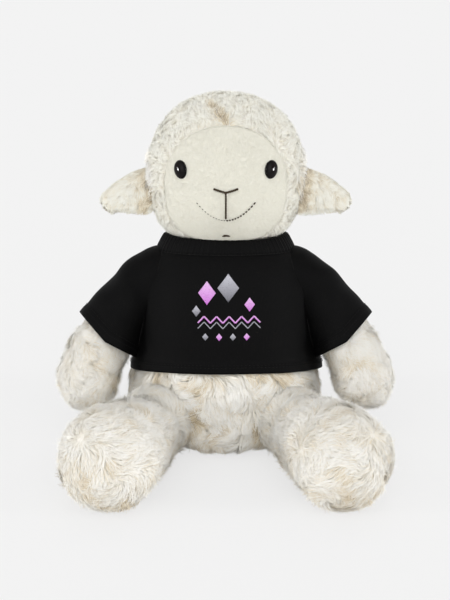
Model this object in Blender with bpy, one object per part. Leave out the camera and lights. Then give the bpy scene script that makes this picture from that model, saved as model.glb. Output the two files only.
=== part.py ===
"""Seated plush sheep in a short-sleeved jersey shirt, built as the sewn toy is built.

Metres, +Z up. The toy sits on the floor at Z = 0 and looks along -Y. Its left side is at +X.
The trunk, shirt, arms and head are laid out in an upright trunk frame, which an empty tips back
by the lean. The legs lie in the floor frame.
"""

import math

import bmesh
import bpy
from mathutils import Matrix, Vector

# Fits shared by all pieces
TOUCH_GAP = 0.0003
TURN_GAP = 0.0007
PLUSH_WALL = 0.0022
CLOTH_THICKNESS = 0.0012
SHIRT_EASE = 0.0005
OVERRUN = 0.020

# Trunk
TRUNK_HALF_WIDTH = 0.0565
TRUNK_HALF_DEPTH = 0.046
TRUNK_WIDEST_HEIGHT = 0.042
TRUNK_LOWER_RISE = 0.0425
TRUNK_TOP_HEIGHT = 0.124
TRUNK_CROWN_CUT = 0.008
TRUNK_UPPER_RISE = TRUNK_TOP_HEIGHT + TRUNK_CROWN_CUT - TRUNK_WIDEST_HEIGHT
TRUNK_LEAN = math.radians(12)
TRUNK_BEND_HEIGHT = 0.070
TRUNK_FULLNESS = 3.0

# Neck
NECK_DROP = 0.011
NECK_HEIGHT = TRUNK_TOP_HEIGHT - NECK_DROP
NECK_BALL_RADIUS = 0.021
NECK_SEAM_HALF_WIDTH = 0.030
NECK_SEAM_HALF_DEPTH = 0.025
NECK_THREAD_RADIUS = 0.0004

# Head
HEAD_LIFT = 0.049
HEAD_CENTRE_HEIGHT = TRUNK_TOP_HEIGHT + HEAD_LIFT
HEAD_FORWARD = 0.001
HEAD_HALF_WIDTH = 0.048
HEAD_HALF_DEPTH = 0.042
HEAD_UPPER_RISE = 0.0455
HEAD_LOWER_RISE = 0.052
HEAD_UNDERSIDE_DROP = 0.0435
HEAD_UNDERSIDE_HEIGHT = HEAD_CENTRE_HEIGHT - HEAD_UNDERSIDE_DROP
HEAD_UPPER_FULLNESS = 2.1
HEAD_LOWER_FULLNESS = 2.9
MUZZLE_RISE = 0.007
MUZZLE_HALF_WIDTH = 0.018
MUZZLE_HALF_HEIGHT = 0.015
MUZZLE_DROP = 0.021
MUZZLE_HEIGHT = HEAD_CENTRE_HEIGHT - MUZZLE_DROP

# Face panel
FACE_HALF_WIDTH = 0.0374
FACE_WIDEST_DROP = 0.010
FACE_WIDEST_HEIGHT = HEAD_CENTRE_HEIGHT - FACE_WIDEST_DROP
FACE_UPPER_RISE = 0.036
FACE_LOWER_RISE = 0.036
FACE_UPPER_FULLNESS = 2.1
FACE_LOWER_FULLNESS = 2.6
FACE_INSET = 0.0008
FACE_WALL = 0.0014
FACE_EDGE_DEPTH = 0.006

# Eyes
EYE_HALF_SPACING = 0.0273
EYE_DROP = 0.0003
EYE_HEIGHT = HEAD_CENTRE_HEIGHT - EYE_DROP
EYE_HALF_WIDTH = 0.0044
EYE_HALF_HEIGHT = 0.0058
EYE_DOME_RISE = 0.0034
EYE_TILT = math.radians(12)
EYE_SHANK_RADIUS = 0.0017
EYE_SHANK_LENGTH = 0.0095
WASHER_RADIUS = 0.0050
WASHER_THICKNESS = 0.0016
WASHER_SET_BACK = 0.0013

# Embroidery
FACE_THREAD_RADIUS = 0.0007
NOSE_HALF_WIDTH = 0.0073
NOSE_TOP_DROP = 0.0112
NOSE_TOP_HEIGHT = HEAD_CENTRE_HEIGHT - NOSE_TOP_DROP
NOSE_POINT_DROP = 0.0133
NOSE_POINT_HEIGHT = HEAD_CENTRE_HEIGHT - NOSE_POINT_DROP
LIP_BOTTOM_DROP = 0.0294
LIP_BOTTOM_HEIGHT = HEAD_CENTRE_HEIGHT - LIP_BOTTOM_DROP
SMILE_HALF_WIDTH = 0.0182
SMILE_END_DROP = 0.0194
SMILE_END_HEIGHT = HEAD_CENTRE_HEIGHT - SMILE_END_DROP
SMILE_LOW_DROP = 0.0306
SMILE_LOW_HEIGHT = HEAD_CENTRE_HEIGHT - SMILE_LOW_DROP

# Ears
EAR_ROOT_TOP_DROP = 0.0015
EAR_ROOT_TOP_HEIGHT = HEAD_CENTRE_HEIGHT - EAR_ROOT_TOP_DROP
EAR_HALF_DEPTH = 0.0085
EAR_ROOT_DROP = 0.0300
EAR_TIP_DROP = 0.014
EAR_REACH = 0.0286
EAR_RIDGE_FALL = 0.0170
EAR_WALL = 0.0026
EAR_LINING_WALL = 0.0011
EAR_HINGE_SETBACK = 0.0006
EAR_DROOP_POWER = 2.0

# Arms
SHOULDER_HALF_SPACING = 0.0425
SHOULDER_FORWARD = 0.0045
SHOULDER_BELOW_TOP = 0.0207
ELBOW_HALF_SPACING = 0.069
ELBOW_FORWARD = 0.009
ELBOW_BELOW_SHOULDER = 0.0178
PAW_HALF_SPACING = 0.0865
PAW_FORWARD = 0.015
PAW_BELOW_SHOULDER = 0.0628
ARM_RADIUS = 0.0163
SLEEVE_FLARE = 0.0030
SLEEVE_HEM_TILT = 0.008

# Legs, in the floor frame
HIP_HALF_SPACING = 0.042
HIP_FORWARD = 0.028
HIP_HEIGHT = 0.0225
HIP_RADIUS = 0.0215
FOOT_HALF_SPACING = 0.0685
FOOT_FORWARD = 0.097
FOOT_RADIUS = 0.0287
SEAT_CUT = 0.0005

# Shirt
SHIRT_HEM_HEIGHT = 0.0455
SHIRT_HEM_FRONT_LIFT = 0.0050
SHIRT_TOP_DROP = 0.0045
SHIRT_TOP_HEIGHT = TRUNK_TOP_HEIGHT - SHIRT_TOP_DROP
COLLAR_BOTTOM_DROP = 0.0037
COLLAR_BOTTOM_HEIGHT = TRUNK_TOP_HEIGHT - COLLAR_BOTTOM_DROP
COLLAR_RISE = 0.0089
COLLAR_TOP_HEIGHT = COLLAR_BOTTOM_HEIGHT + COLLAR_RISE
COLLAR_THICKNESS = 0.0018
COLLAR_DRAW_IN = 0.0035
COLLAR_FORWARD = 0.0020
SIDE_SEAM_HALF_GAP = 0.0002

# Tail
TAIL_ROOT_BACK = 0.0455
TAIL_ROOT_HEIGHT = 0.034
TAIL_LENGTH = 0.021
TAIL_FALL = 0.003
TAIL_RADIUS = 0.0085

# Closing seam
SEAM_TURN = math.radians(62)
SEAM_LOW_HEIGHT = 0.010
SEAM_HIGH_HEIGHT = 0.042
SEAM_HALF_WIDTH = 0.0022
SEAM_THREAD_RADIUS = 0.0004
SEAM_STITCHES = 9

# Shares of radius along each limb, from root to tip
ARM_RADIUS_SHARES = (1.0, 0.96, 0.95, 0.97, 0.98, 0.97, 0.98, 1.02)
LEG_SWELL_SHARES = (0.0, -0.20, 0.05, 0.35, 0.65, 0.90, 1.0)
TAIL_RADIUS_SHARES = (0.85, 0.89, 1.0, 0.95, 0.76)
EAR_LENGTH_SHARES = (0.0, 0.30, 0.58, 0.80, 0.93, 1.0)
EAR_SPREAD_SHARES = (0.90, 1.0, 1.0, 0.90, 0.72, 0.45)
EAR_ROOT_TUCK_SHARE = 0.8
# A skin's root stays open where its round cap has come this share of the way to its pole
OPEN_ROOT_SHARE = 0.6

# Facets
ROUND_SIDES = 24
TRUNK_ROWS = 12
HEAD_ROWS = 12
ARM_SIDES = 12
ARM_ROWS = 7
LEG_SIDES = 16
LEG_ROWS = 5
TAIL_SIDES = 10
TAIL_ROWS = 4
CAP_ROWS = 3
SOCKET_SIDES = 18
WALL_SIDES = 12
BALL_ROWS_SHARE = 0.6
OUTLINE_SIDES = 32
THREAD_SIDES = 5
EYE_SIDES = 16
EYE_ROWS = 4
EAR_ARCH_STEPS = 8
SHIRT_ROWS = 8
STITCH_STEPS = 4
HALVINGS = 30
SHARP_ANGLE = math.radians(45)

BOW = math.pi / 2
SIDES = ((-1, "right"), (1, "left"))


def plush(name, colour, roughness, metallic=0.0):
    """A material with one Principled surface."""
    made = bpy.data.materials.new(name)
    made.use_nodes = True
    surface = made.node_tree.nodes["Principled BSDF"]
    surface.inputs["Base Color"].default_value = (*colour, 1.0)
    surface.inputs["Roughness"].default_value = roughness
    surface.inputs["Metallic"].default_value = metallic
    return made


def mesh_object(name, points, faces, material, pivot=(0, 0, 0), parent=None):
    """An object of these points, given in its parent's frame, with its origin at the pivot."""
    pivot = Vector(pivot)
    mesh = bpy.data.meshes.new(name)
    mesh.from_pydata([Vector(p) - pivot for p in points], [], faces)
    shaping = bmesh.new()
    shaping.from_mesh(mesh)
    bmesh.ops.recalc_face_normals(shaping, faces=shaping.faces)
    if shaping.calc_volume(signed=True) < 0:
        bmesh.ops.reverse_faces(shaping, faces=shaping.faces)
    shaping.to_mesh(mesh)
    shaping.free()
    mesh.shade_smooth()
    mesh.set_sharp_from_angle(angle=SHARP_ANGLE)
    obj = bpy.data.objects.new(name, mesh)
    bpy.context.scene.collection.objects.link(obj)
    obj.location = pivot
    if parent is not None:
        obj.parent = parent
    if material is not None:
        mesh.materials.append(material)
    return obj


def cutter(name, points, faces, parent=None):
    """A helper solid that only cuts."""
    obj = mesh_object(name, points, faces, None, parent=parent)
    obj.hide_render = True
    obj.display_type = "WIRE"
    return obj


def combine(target, tool, operation="DIFFERENCE"):
    step = target.modifiers.new(f"{operation.title()} {tool.name}", "BOOLEAN")
    step.operation = operation
    step.object = tool


def lofted(rings, closed_run=False):
    """Points and faces of a skin over rings. A ring of one point is a pole."""
    points, starts = [], []
    for ring in rings:
        starts.append(len(points))
        points.extend(ring)
    faces = []
    pairs = list(zip(range(len(rings)), range(1, len(rings))))
    if closed_run:
        pairs.append((len(rings) - 1, 0))
    for low, high in pairs:
        below, above = len(rings[low]), len(rings[high])
        if below == 1 and above == 1:
            continue
        for i in range(max(below, above)):
            j = (i + 1) % max(below, above)
            corners = [starts[low] + i % below, starts[low] + j % below]
            corners += [starts[high] + j % above, starts[high] + i % above]
            faces.append(tuple(dict.fromkeys(corners)))
    if not closed_run:
        for ring, start in ((rings[0], starts[0]), (rings[-1], starts[-1])):
            if len(ring) > 1:
                faces.append(tuple(range(start, start + len(ring))))
    return points, faces


def ball_rings(centre, radius, sides, rows):
    """Rings of a faceted ball whose corners lie at this radius."""
    rings = []
    for row in range(rows + 1):
        rise = math.pi * row / rows - BOW
        height, spread = radius * math.sin(rise), radius * math.cos(rise)
        if row in (0, rows):
            rings.append([Vector(centre) + Vector((0, 0, height))])
            continue
        turns = [math.tau * i / sides for i in range(sides)]
        ring = [Vector((spread * math.cos(a), spread * math.sin(a), height)) for a in turns]
        rings.append([Vector(centre) + p for p in ring])
    return rings


def ball(name, centre, radius, sides, parent=None):
    """A faceted hollow whose flats lie at this radius, so that a true ball of it turns freely."""
    rows = round(sides * BALL_ROWS_SHARE)
    corners = radius / math.cos(math.pi / sides) / math.cos(BOW / rows)
    return cutter(name, *lofted(ball_rings(centre, corners, sides, rows)), parent=parent)


def slab(name, low, high, parent=None):
    """A box that only cuts, between two corners."""
    rings = []
    for z in (low[2], high[2]):
        corners = ((low[0], low[1]), (high[0], low[1]), (high[0], high[1]), (low[0], high[1]))
        rings.append([Vector((x, y, z)) for x, y in corners])
    return cutter(name, *lofted(rings), parent=parent)


def between(values, share):
    """The value at a share of the way along an evenly spaced list, on a smooth curve."""
    place = min(max(share, 0.0), 1.0) * (len(values) - 1)
    low = min(int(place), len(values) - 2)
    t = place - low
    before = values[max(low - 1, 0)]
    a, b = values[low], values[low + 1]
    after = values[min(low + 2, len(values) - 1)]
    bend = 2 * before - 5 * a + 4 * b - after
    return a + t * (b - before + t * (bend + t * (3 * (a - b) + after - before))) / 2


def swelling(rise, fullness):
    """Share of the full width at this share of the height from the widest place."""
    return max(1 - abs(rise) ** fullness, 0.0) ** (1 / fullness)


# The trunk and what lies on it


def leaned(point):
    """Tips a trunk point back by the lean, easing out towards the level seat."""
    x, y, z = point
    ease = min(max(z / TRUNK_BEND_HEIGHT, 0.0), 1.0)
    ease = ease * ease * (3 - 2 * ease)
    back = y * math.cos(TRUNK_LEAN) + z * math.sin(TRUNK_LEAN)
    up = z * math.cos(TRUNK_LEAN) - y * math.sin(TRUNK_LEAN) * ease
    return Vector((x, back, up))


def trunk_point(turn, height, proud=0.0):
    """A point of the trunk's skin in the trunk frame, at a turn from +X towards the back."""
    from_widest = height - TRUNK_WIDEST_HEIGHT
    reach = (TRUNK_UPPER_RISE if from_widest > 0 else TRUNK_LOWER_RISE) + proud
    width = swelling(min(abs(from_widest) / reach, 1.0), TRUNK_FULLNESS)
    x = (TRUNK_HALF_WIDTH + proud) * width * math.cos(turn)
    y = (TRUNK_HALF_DEPTH + proud) * width * math.sin(turn)
    return Vector((x, y, height))


def trunk_rings(proud):
    """Rings of the trunk from the seat to the crown, standing proud of its skin by this much."""
    rings = []
    for row in range(TRUNK_ROWS + 1):
        rise = math.pi * row / TRUNK_ROWS - BOW
        reach = (TRUNK_UPPER_RISE if rise > 0 else TRUNK_LOWER_RISE) + proud
        height = TRUNK_WIDEST_HEIGHT + reach * math.sin(rise)
        if row in (0, TRUNK_ROWS):
            rings.append([leaned((0, 0, height))])
            continue
        turns = [math.tau * i / ROUND_SIDES for i in range(ROUND_SIDES)]
        rings.append([leaned(trunk_point(a, height, proud)) for a in turns])
    return rings


def shoulder(side):
    height = TRUNK_TOP_HEIGHT - SHOULDER_BELOW_TOP
    return Vector((side * SHOULDER_HALF_SPACING, -SHOULDER_FORWARD, height))


def hip(side):
    return Vector((side * HIP_HALF_SPACING, -HIP_FORWARD, HIP_HEIGHT))


def tail_root():
    return Vector((0, TAIL_ROOT_BACK, TAIL_ROOT_HEIGHT))


def tail_radius(share):
    return TAIL_RADIUS * between(TAIL_RADIUS_SHARES, share)


def limb_sockets(extra, sides, upper, label):
    """Balls that hollow the trunk for the arms, legs and tail, larger than them by this much."""
    made = []
    for side, word in SIDES:
        made.append(ball(f"{label}_arm_{word}", shoulder(side), ARM_RADIUS + extra, sides, upper))
        made.append(ball(f"{label}_leg_{word}", hip(side), HIP_RADIUS + extra, sides))
    made.append(ball(f"{label}_tail", tail_root(), tail_radius(0.0) + extra, sides, upper))
    return made


def floor_cut():
    side = TRUNK_HALF_WIDTH + FOOT_FORWARD + FOOT_RADIUS
    return slab("floor_cut", (-side, -side, -OVERRUN), (side, side, 0))


def trunk_top_cut(upper):
    side = TRUNK_HALF_WIDTH
    top = TRUNK_TOP_HEIGHT + OVERRUN
    return slab("trunk_top_cut", (-side, -side, TRUNK_TOP_HEIGHT), (side, side, top), upper)


def body(upper, floor, materials):
    """The plush skin of the trunk and the fibre that fills it."""
    top = trunk_top_cut(upper)
    centre = (0, 0, NECK_HEIGHT)
    dish = ball("neck_hollow", centre, NECK_BALL_RADIUS + TOUCH_GAP, SOCKET_SIDES, upper)
    hollow = cutter("body_hollow", *lofted(trunk_rings(-PLUSH_WALL)))
    for tool in limb_sockets(TURN_GAP + PLUSH_WALL, WALL_SIDES, upper, "wall"):
        combine(hollow, tool)
    cover = mesh_object("body_cover", *lofted(trunk_rings(0.0)), materials["plush"])
    sockets = limb_sockets(TURN_GAP, SOCKET_SIDES, upper, "socket")
    for tool in (*sockets, hollow, dish, top, floor):
        combine(cover, tool)
    filled = -PLUSH_WALL - TOUCH_GAP
    filling = mesh_object("body_filling", *lofted(trunk_rings(filled)), materials["fibre"])
    beyond = TURN_GAP + PLUSH_WALL + TOUCH_GAP
    for tool in (*limb_sockets(beyond, WALL_SIDES, upper, "fibre"), dish, top):
        combine(filling, tool)


def neck(upper, materials):
    """The firm wad of fibre that the head turns and nods on, and the thread of the neck seam."""
    centre = (0, 0, NECK_HEIGHT)
    rows = round(SOCKET_SIDES * BALL_ROWS_SHARE)
    wad = lofted(ball_rings(centre, NECK_BALL_RADIUS, SOCKET_SIDES, rows))
    mesh_object("neck_filling", *wad, materials["fibre"], centre, upper)
    height = TRUNK_TOP_HEIGHT + TOUCH_GAP + NECK_THREAD_RADIUS
    route = []
    for i in range(ROUND_SIDES):
        turn = math.tau * i / ROUND_SIDES
        x, y = NECK_SEAM_HALF_WIDTH * math.cos(turn), NECK_SEAM_HALF_DEPTH * math.sin(turn)
        route.append(Vector((x, y, height)))
    rings = tube_rings(route, NECK_THREAD_RADIUS, closed=True)
    mesh_object("neck_seam", *lofted(rings, closed_run=True), materials["thread"], parent=upper)


def tube_rings(route, radius, closed=False):
    """Rings of a thread along these points."""
    rings = []
    for i, here in enumerate(route):
        before = route[i - 1] if closed or i else here
        after = route[(i + 1) % len(route)] if closed or i + 1 < len(route) else here
        along = (after - before).normalized()
        side = along.cross(Vector((0, 1, 0)))
        if side.length < TOUCH_GAP:
            side = along.cross(Vector((0, 0, 1)))
        side.normalize()
        lift = along.cross(side)
        turns = [math.tau * k / THREAD_SIDES for k in range(THREAD_SIDES)]
        rings.append([here + radius * (math.cos(a) * side + math.sin(a) * lift) for a in turns])
    return rings


def closing_seam(upper, materials):
    """Ladder stitches that close the trunk low on its back, beside the tail."""
    route = []
    proud = TOUCH_GAP + SEAM_THREAD_RADIUS
    last = 2 * SEAM_STITCHES
    for i in range(last + 1):
        height = SEAM_LOW_HEIGHT + (SEAM_HIGH_HEIGHT - SEAM_LOW_HEIGHT) * i / last
        side = SEAM_HALF_WIDTH * (1 if i % 2 else -1)
        point = trunk_point(SEAM_TURN - side / TRUNK_HALF_WIDTH, height, proud)
        route.append(leaned(point))
    mesh_object("closing_seam", *lofted(tube_rings(route, SEAM_THREAD_RADIUS)), materials["thread"])


# Limbs


def bowed(start, middle, end, share):
    """A point on the soft bow from start to end that leans towards the middle."""
    rest = 1 - share
    return rest * rest * start + 2 * rest * share * middle + share * share * end


def limb_rings(path, radius_at, inset, sides, rows, root_cap, tip_cap, across):
    """Rings along a limb. A cap share of 1 closes that end with a round cap, 0 leaves it flat."""
    def ring(centre, along, radius):
        side = along.cross(across).normalized()
        lift = side.cross(along)
        turns = [math.tau * k / sides for k in range(sides)]
        return [centre + radius * (math.cos(a) * side + math.sin(a) * lift) for a in turns]

    def heading(share):
        step = 1 / rows
        return (path(min(share + step, 1.0)) - path(max(share - step, 0.0))).normalized()

    def cap(share, outward, amount):
        made = []
        along = heading(share)
        radius = radius_at(share) - inset
        for k in range(1, CAP_ROWS + 1):
            rise = BOW * amount * k / CAP_ROWS
            centre = path(share) + outward * along * radius * math.sin(rise)
            if amount == 1 and k == CAP_ROWS:
                made.append([centre])
            else:
                made.append(ring(centre, along, radius * math.cos(rise)))
        return made

    rings = cap(0.0, -1, root_cap)[::-1] if root_cap else []
    for row in range(rows + 1):
        share = row / rows
        rings.append(ring(path(share), heading(share), radius_at(share) - inset))
    if tip_cap:
        rings += cap(1.0, 1, tip_cap)
    return rings


def arm_path(side):
    start = shoulder(side)
    elbow_height, paw_height = start.z - ELBOW_BELOW_SHOULDER, start.z - PAW_BELOW_SHOULDER
    middle = Vector((side * ELBOW_HALF_SPACING, -ELBOW_FORWARD, elbow_height))
    end = Vector((side * PAW_HALF_SPACING, -PAW_FORWARD, paw_height))
    return lambda share: bowed(start, middle, end, share)


def arm_radius(share):
    return ARM_RADIUS * between(ARM_RADIUS_SHARES, share)


def leg_path(side):
    start = hip(side)
    end = Vector((side * FOOT_HALF_SPACING, -FOOT_FORWARD, FOOT_RADIUS - SEAT_CUT))
    return lambda share: start.lerp(end, share)


def leg_radius(share):
    return HIP_RADIUS + (FOOT_RADIUS - HIP_RADIUS) * between(LEG_SWELL_SHARES, share)


def cup(rings_of):
    """A skin open at its root: the outer rings to the tip, then the inner ones back."""
    outer = rings_of(0.0, OPEN_ROOT_SHARE, 1)
    inner = rings_of(PLUSH_WALL, OPEN_ROOT_SHARE, 1)
    return lofted(outer + inner[::-1], closed_run=True)


def arm(side, word, upper, space, materials):
    """One arm's skin and filling, cut where they press on the trunk."""
    def rings_of(inset, root_cap, tip_cap):
        across = Vector((0, 1, 0))
        shape = (arm_path(side), arm_radius, inset, ARM_SIDES, ARM_ROWS)
        return limb_rings(*shape, root_cap, tip_cap, across)

    pivot = shoulder(side)
    skin = cup(rings_of)
    cover = mesh_object(f"arm_cover_{word}", *skin, materials["plush"], pivot, upper)
    fibre = lofted(rings_of(PLUSH_WALL + TOUCH_GAP, 1, 1))
    filling = mesh_object(f"arm_filling_{word}", *fibre, materials["fibre"], pivot, upper)
    for piece in (cover, filling):
        combine(piece, space)


def leg(side, word, space, floor, materials):
    """One leg's skin and filling, cut where they press on the trunk and flat on the floor."""
    def rings_of(inset, root_cap, tip_cap):
        across = Vector((0, 0, 1))
        shape = (leg_path(side), leg_radius, inset, LEG_SIDES, LEG_ROWS)
        return limb_rings(*shape, root_cap, tip_cap, across)

    pivot = hip(side)
    skin = cup(rings_of)
    cover = mesh_object(f"leg_cover_{word}", *skin, materials["plush"], pivot)
    fibre = lofted(rings_of(PLUSH_WALL + TOUCH_GAP, 1, 1))
    filling = mesh_object(f"leg_filling_{word}", *fibre, materials["fibre"], pivot)
    combine(cover, floor)
    for piece in (cover, filling):
        combine(piece, space)


def trunk_space(upper):
    """The room that the trunk takes from the arms and legs, but for their balls in it."""
    arms = cutter("trunk_space_for_arms", *lofted(trunk_rings(TOUCH_GAP)))
    legs = cutter("trunk_space_for_legs", *lofted(trunk_rings(TOUCH_GAP)))
    tail = cutter("trunk_space_for_tail", *lofted(trunk_rings(TOUCH_GAP)))
    room = limb_sockets(TURN_GAP - TOUCH_GAP, SOCKET_SIDES, upper, "room")
    for own, tools in ((arms, room[0:4:2]), (legs, room[1:4:2]), (tail, room[4:])):
        for tool in tools:
            combine(own, tool)
    return arms, legs, tail


def tail(upper, space, materials):
    """A short stuffed tail low on the back."""
    start = tail_root()
    end = start + Vector((0, TAIL_LENGTH - TAIL_RADIUS, -TAIL_FALL))

    def path(share):
        return start.lerp(end, share)

    def rings_of(inset, root_cap, tip_cap):
        across = Vector((1, 0, 0))
        shape = (path, tail_radius, inset, TAIL_SIDES, TAIL_ROWS)
        return limb_rings(*shape, root_cap, tip_cap, across)

    skin = cup(rings_of)
    cover = mesh_object("tail_cover", *skin, materials["plush"], start, upper)
    fibre = lofted(rings_of(PLUSH_WALL + TOUCH_GAP, 1, 1))
    filling = mesh_object("tail_filling", *fibre, materials["fibre"], start, upper)
    for piece in (cover, filling):
        combine(piece, space)


# Shirt


def hem_height(turn):
    """The hem rises a little towards the front."""
    return SHIRT_HEM_HEIGHT - SHIRT_HEM_FRONT_LIFT * min(math.sin(turn), 0.0)


def shirt_panel(name, first_turn, materials, tools):
    """Half of the shirt's body, from one side seam round to the other."""
    columns = ROUND_SIDES // 2
    seam = SIDE_SEAM_HALF_GAP / TRUNK_HALF_WIDTH
    turns = [first_turn + math.pi * i / columns for i in range(columns + 1)]
    turns[0] += seam
    turns[-1] -= seam

    def layer(proud):
        made = []
        for row in range(SHIRT_ROWS + 1):
            share = math.sin(BOW * row / SHIRT_ROWS)
            line = []
            for turn in turns:
                low = hem_height(turn)
                height = low + (SHIRT_TOP_HEIGHT - low) * share
                line.append(leaned(trunk_point(turn, height, proud)))
            made.append(line)
        return made

    inner, outer = layer(SHIRT_EASE), layer(SHIRT_EASE + CLOTH_THICKNESS)
    rings = [low + high[::-1] for low, high in zip(inner, outer)]
    panel = mesh_object(name, *lofted(rings), materials["jersey"])
    for tool in tools:
        combine(panel, tool)


def collar_point(turn, height, proud):
    """The neck rib stands up from the trunk's shoulder, draws in and comes forward."""
    rise = (height - COLLAR_BOTTOM_HEIGHT) / (COLLAR_TOP_HEIGHT - COLLAR_BOTTOM_HEIGHT)
    rise = max(rise, 0.0)
    point = trunk_point(turn, min(height, COLLAR_BOTTOM_HEIGHT), proud - COLLAR_DRAW_IN * rise)
    return leaned((point.x, point.y - COLLAR_FORWARD * rise, height))


def collar_rings(proud, thickness, low, high):
    rings = []
    outer = proud + thickness
    for height, out in ((low, proud), (high, proud), (high, outer), (low, outer)):
        turns = [math.tau * i / ROUND_SIDES for i in range(ROUND_SIDES)]
        rings.append([collar_point(a, height, out) for a in turns])
    return rings


def collar(materials):
    """The doubled rib band round the neck."""
    rings = collar_rings(SHIRT_EASE, COLLAR_THICKNESS, COLLAR_BOTTOM_HEIGHT, COLLAR_TOP_HEIGHT)
    mesh_object("shirt_collar", *lofted(rings, closed_run=True), materials["jersey"])


def collar_space():
    """The room that the rib takes from the sleeves."""
    proud = SHIRT_EASE + COLLAR_THICKNESS + TOUCH_GAP
    turns = [math.tau * i / ROUND_SIDES for i in range(ROUND_SIDES)]
    low, high = COLLAR_BOTTOM_HEIGHT - TOUCH_GAP, COLLAR_TOP_HEIGHT
    rings = [[collar_point(a, height, proud) for a in turns] for height in (low, high)]
    return cutter("collar_space", *lofted(rings))


def sleeve_rings(side, inset, root_cap, bare_rows=2):
    """Rings over the upper arm down to the sleeve's hem, which ends higher on its outer side."""
    def radius_at(share):
        return arm_radius(0.0) + SLEEVE_FLARE * share

    path = arm_path(side)
    rings = limb_rings(path, radius_at, inset, ARM_SIDES, ARM_ROWS, root_cap, 0, Vector((0, 1, 0)))
    rings = rings[: len(rings) - bare_rows]
    share = 1 - bare_rows / ARM_ROWS
    along = (path(share) - path(share - 1 / ARM_ROWS)).normalized()
    outward = Vector((0, 1, 0)).cross(along) * -side
    centre = path(share)
    tilted = []
    for point in rings[-1]:
        outer = max((point - centre).normalized().dot(outward), 0.0)
        tilted.append(point - along * SLEEVE_HEM_TILT * outer)
    return [*rings[:-1], tilted]


def sleeve_space(side, word, upper):
    proud = TOUCH_GAP + CLOTH_THICKNESS + TOUCH_GAP
    rings = sleeve_rings(side, -proud, OPEN_ROOT_SHARE, bare_rows=1)
    return cutter(f"sleeve_space_{word}", *lofted(rings), parent=upper)


def sleeve(side, word, upper, tools, materials):
    """A raglan sleeve round the upper arm, cut where it meets the trunk and the rib."""
    inner = sleeve_rings(side, -TOUCH_GAP, OPEN_ROOT_SHARE)
    outer = sleeve_rings(side, -TOUCH_GAP - CLOTH_THICKNESS, OPEN_ROOT_SHARE)
    skin = lofted(outer + inner[::-1], closed_run=True)
    piece = mesh_object(f"shirt_sleeve_{word}", *skin, materials["jersey"], shoulder(side), upper)
    for tool in tools:
        combine(piece, tool)


def shirt(upper, materials):
    collar(materials)
    rib = collar_space()
    sleeves = [sleeve_space(side, word, upper) for side, word in SIDES]
    shirt_panel("shirt_front", math.pi, materials, sleeves)
    shirt_panel("shirt_back", 0.0, materials, sleeves)
    trunk_room = cutter("trunk_space_for_sleeves", *lofted(trunk_rings(SHIRT_EASE)))
    for side, word in SIDES:
        sleeve(side, word, upper, (trunk_room, rib), materials)


# Head


def head_point(turn, height, inset, muzzle=True):
    """A point of the head's skin, at a turn from +X towards the back."""
    from_widest = height - HEAD_CENTRE_HEIGHT
    upper = from_widest > 0
    reach = (HEAD_UPPER_RISE if upper else HEAD_LOWER_RISE) - inset
    fullness = HEAD_UPPER_FULLNESS if upper else HEAD_LOWER_FULLNESS
    width = swelling(min(abs(from_widest) / reach, 1.0), fullness)
    x = (HEAD_HALF_WIDTH - inset) * width * math.cos(turn)
    y = (HEAD_HALF_DEPTH - inset) * width * math.sin(turn) - HEAD_FORWARD
    if muzzle and math.sin(turn) < 0:
        away = (x / MUZZLE_HALF_WIDTH) ** 2
        away += ((height - MUZZLE_HEIGHT) / MUZZLE_HALF_HEIGHT) ** 2
        y -= MUZZLE_RISE * math.exp(-away) * -math.sin(turn)
    return Vector((x, y, height))


def head_rings(inset):
    rings = []
    for row in range(HEAD_ROWS + 1):
        rise = math.pi * row / HEAD_ROWS - BOW
        reach = (HEAD_UPPER_RISE if rise > 0 else HEAD_LOWER_RISE) - inset
        height = HEAD_CENTRE_HEIGHT + reach * math.sin(rise)
        if row in (0, HEAD_ROWS):
            rings.append([Vector((0, -HEAD_FORWARD, height))])
            continue
        turns = [math.tau * i / ROUND_SIDES for i in range(ROUND_SIDES)]
        rings.append([head_point(a, height, inset) for a in turns])
    return rings


def face_front(x, height, inset):
    """The face's skin straight ahead of this place, found by halving the turn."""
    low, high = -BOW, 0.0
    if x < 0:
        low, high = -BOW, -math.pi
    for _ in range(HALVINGS):
        middle = (low + high) / 2
        if abs(head_point(middle, height, inset).x) < abs(x):
            low = middle
        else:
            high = middle
    return head_point(low, height, inset)


def face_outline(name, proud, upper):
    """A prism through the front of the head whose section is the face panel's outline."""
    outline = []
    half_step = math.pi / OUTLINE_SIDES
    for i in range(OUTLINE_SIDES):
        turn = math.tau * i / OUTLINE_SIDES + half_step
        rising = math.sin(turn) > 0
        reach = (FACE_UPPER_RISE if rising else FACE_LOWER_RISE) + proud
        fullness = FACE_UPPER_FULLNESS if rising else FACE_LOWER_FULLNESS
        across = math.copysign(abs(math.cos(turn)) ** (2 / fullness), math.cos(turn))
        up = math.copysign(abs(math.sin(turn)) ** (2 / fullness), math.sin(turn))
        outline.append(((FACE_HALF_WIDTH + proud) * across, FACE_WIDEST_HEIGHT + reach * up))
    front = -HEAD_HALF_DEPTH - MUZZLE_RISE - OVERRUN
    rings = [[Vector((x, y, z)) for x, z in outline] for y in (front, -FACE_EDGE_DEPTH)]
    return cutter(name, *lofted(rings), parent=upper)


def underside_cut(upper):
    side = HEAD_HALF_WIDTH + OVERRUN
    low = HEAD_UNDERSIDE_HEIGHT - HEAD_LOWER_RISE
    corner = (side, side, HEAD_UNDERSIDE_HEIGHT)
    return slab("head_underside_cut", (-side, -side, low), corner, upper)


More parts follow.
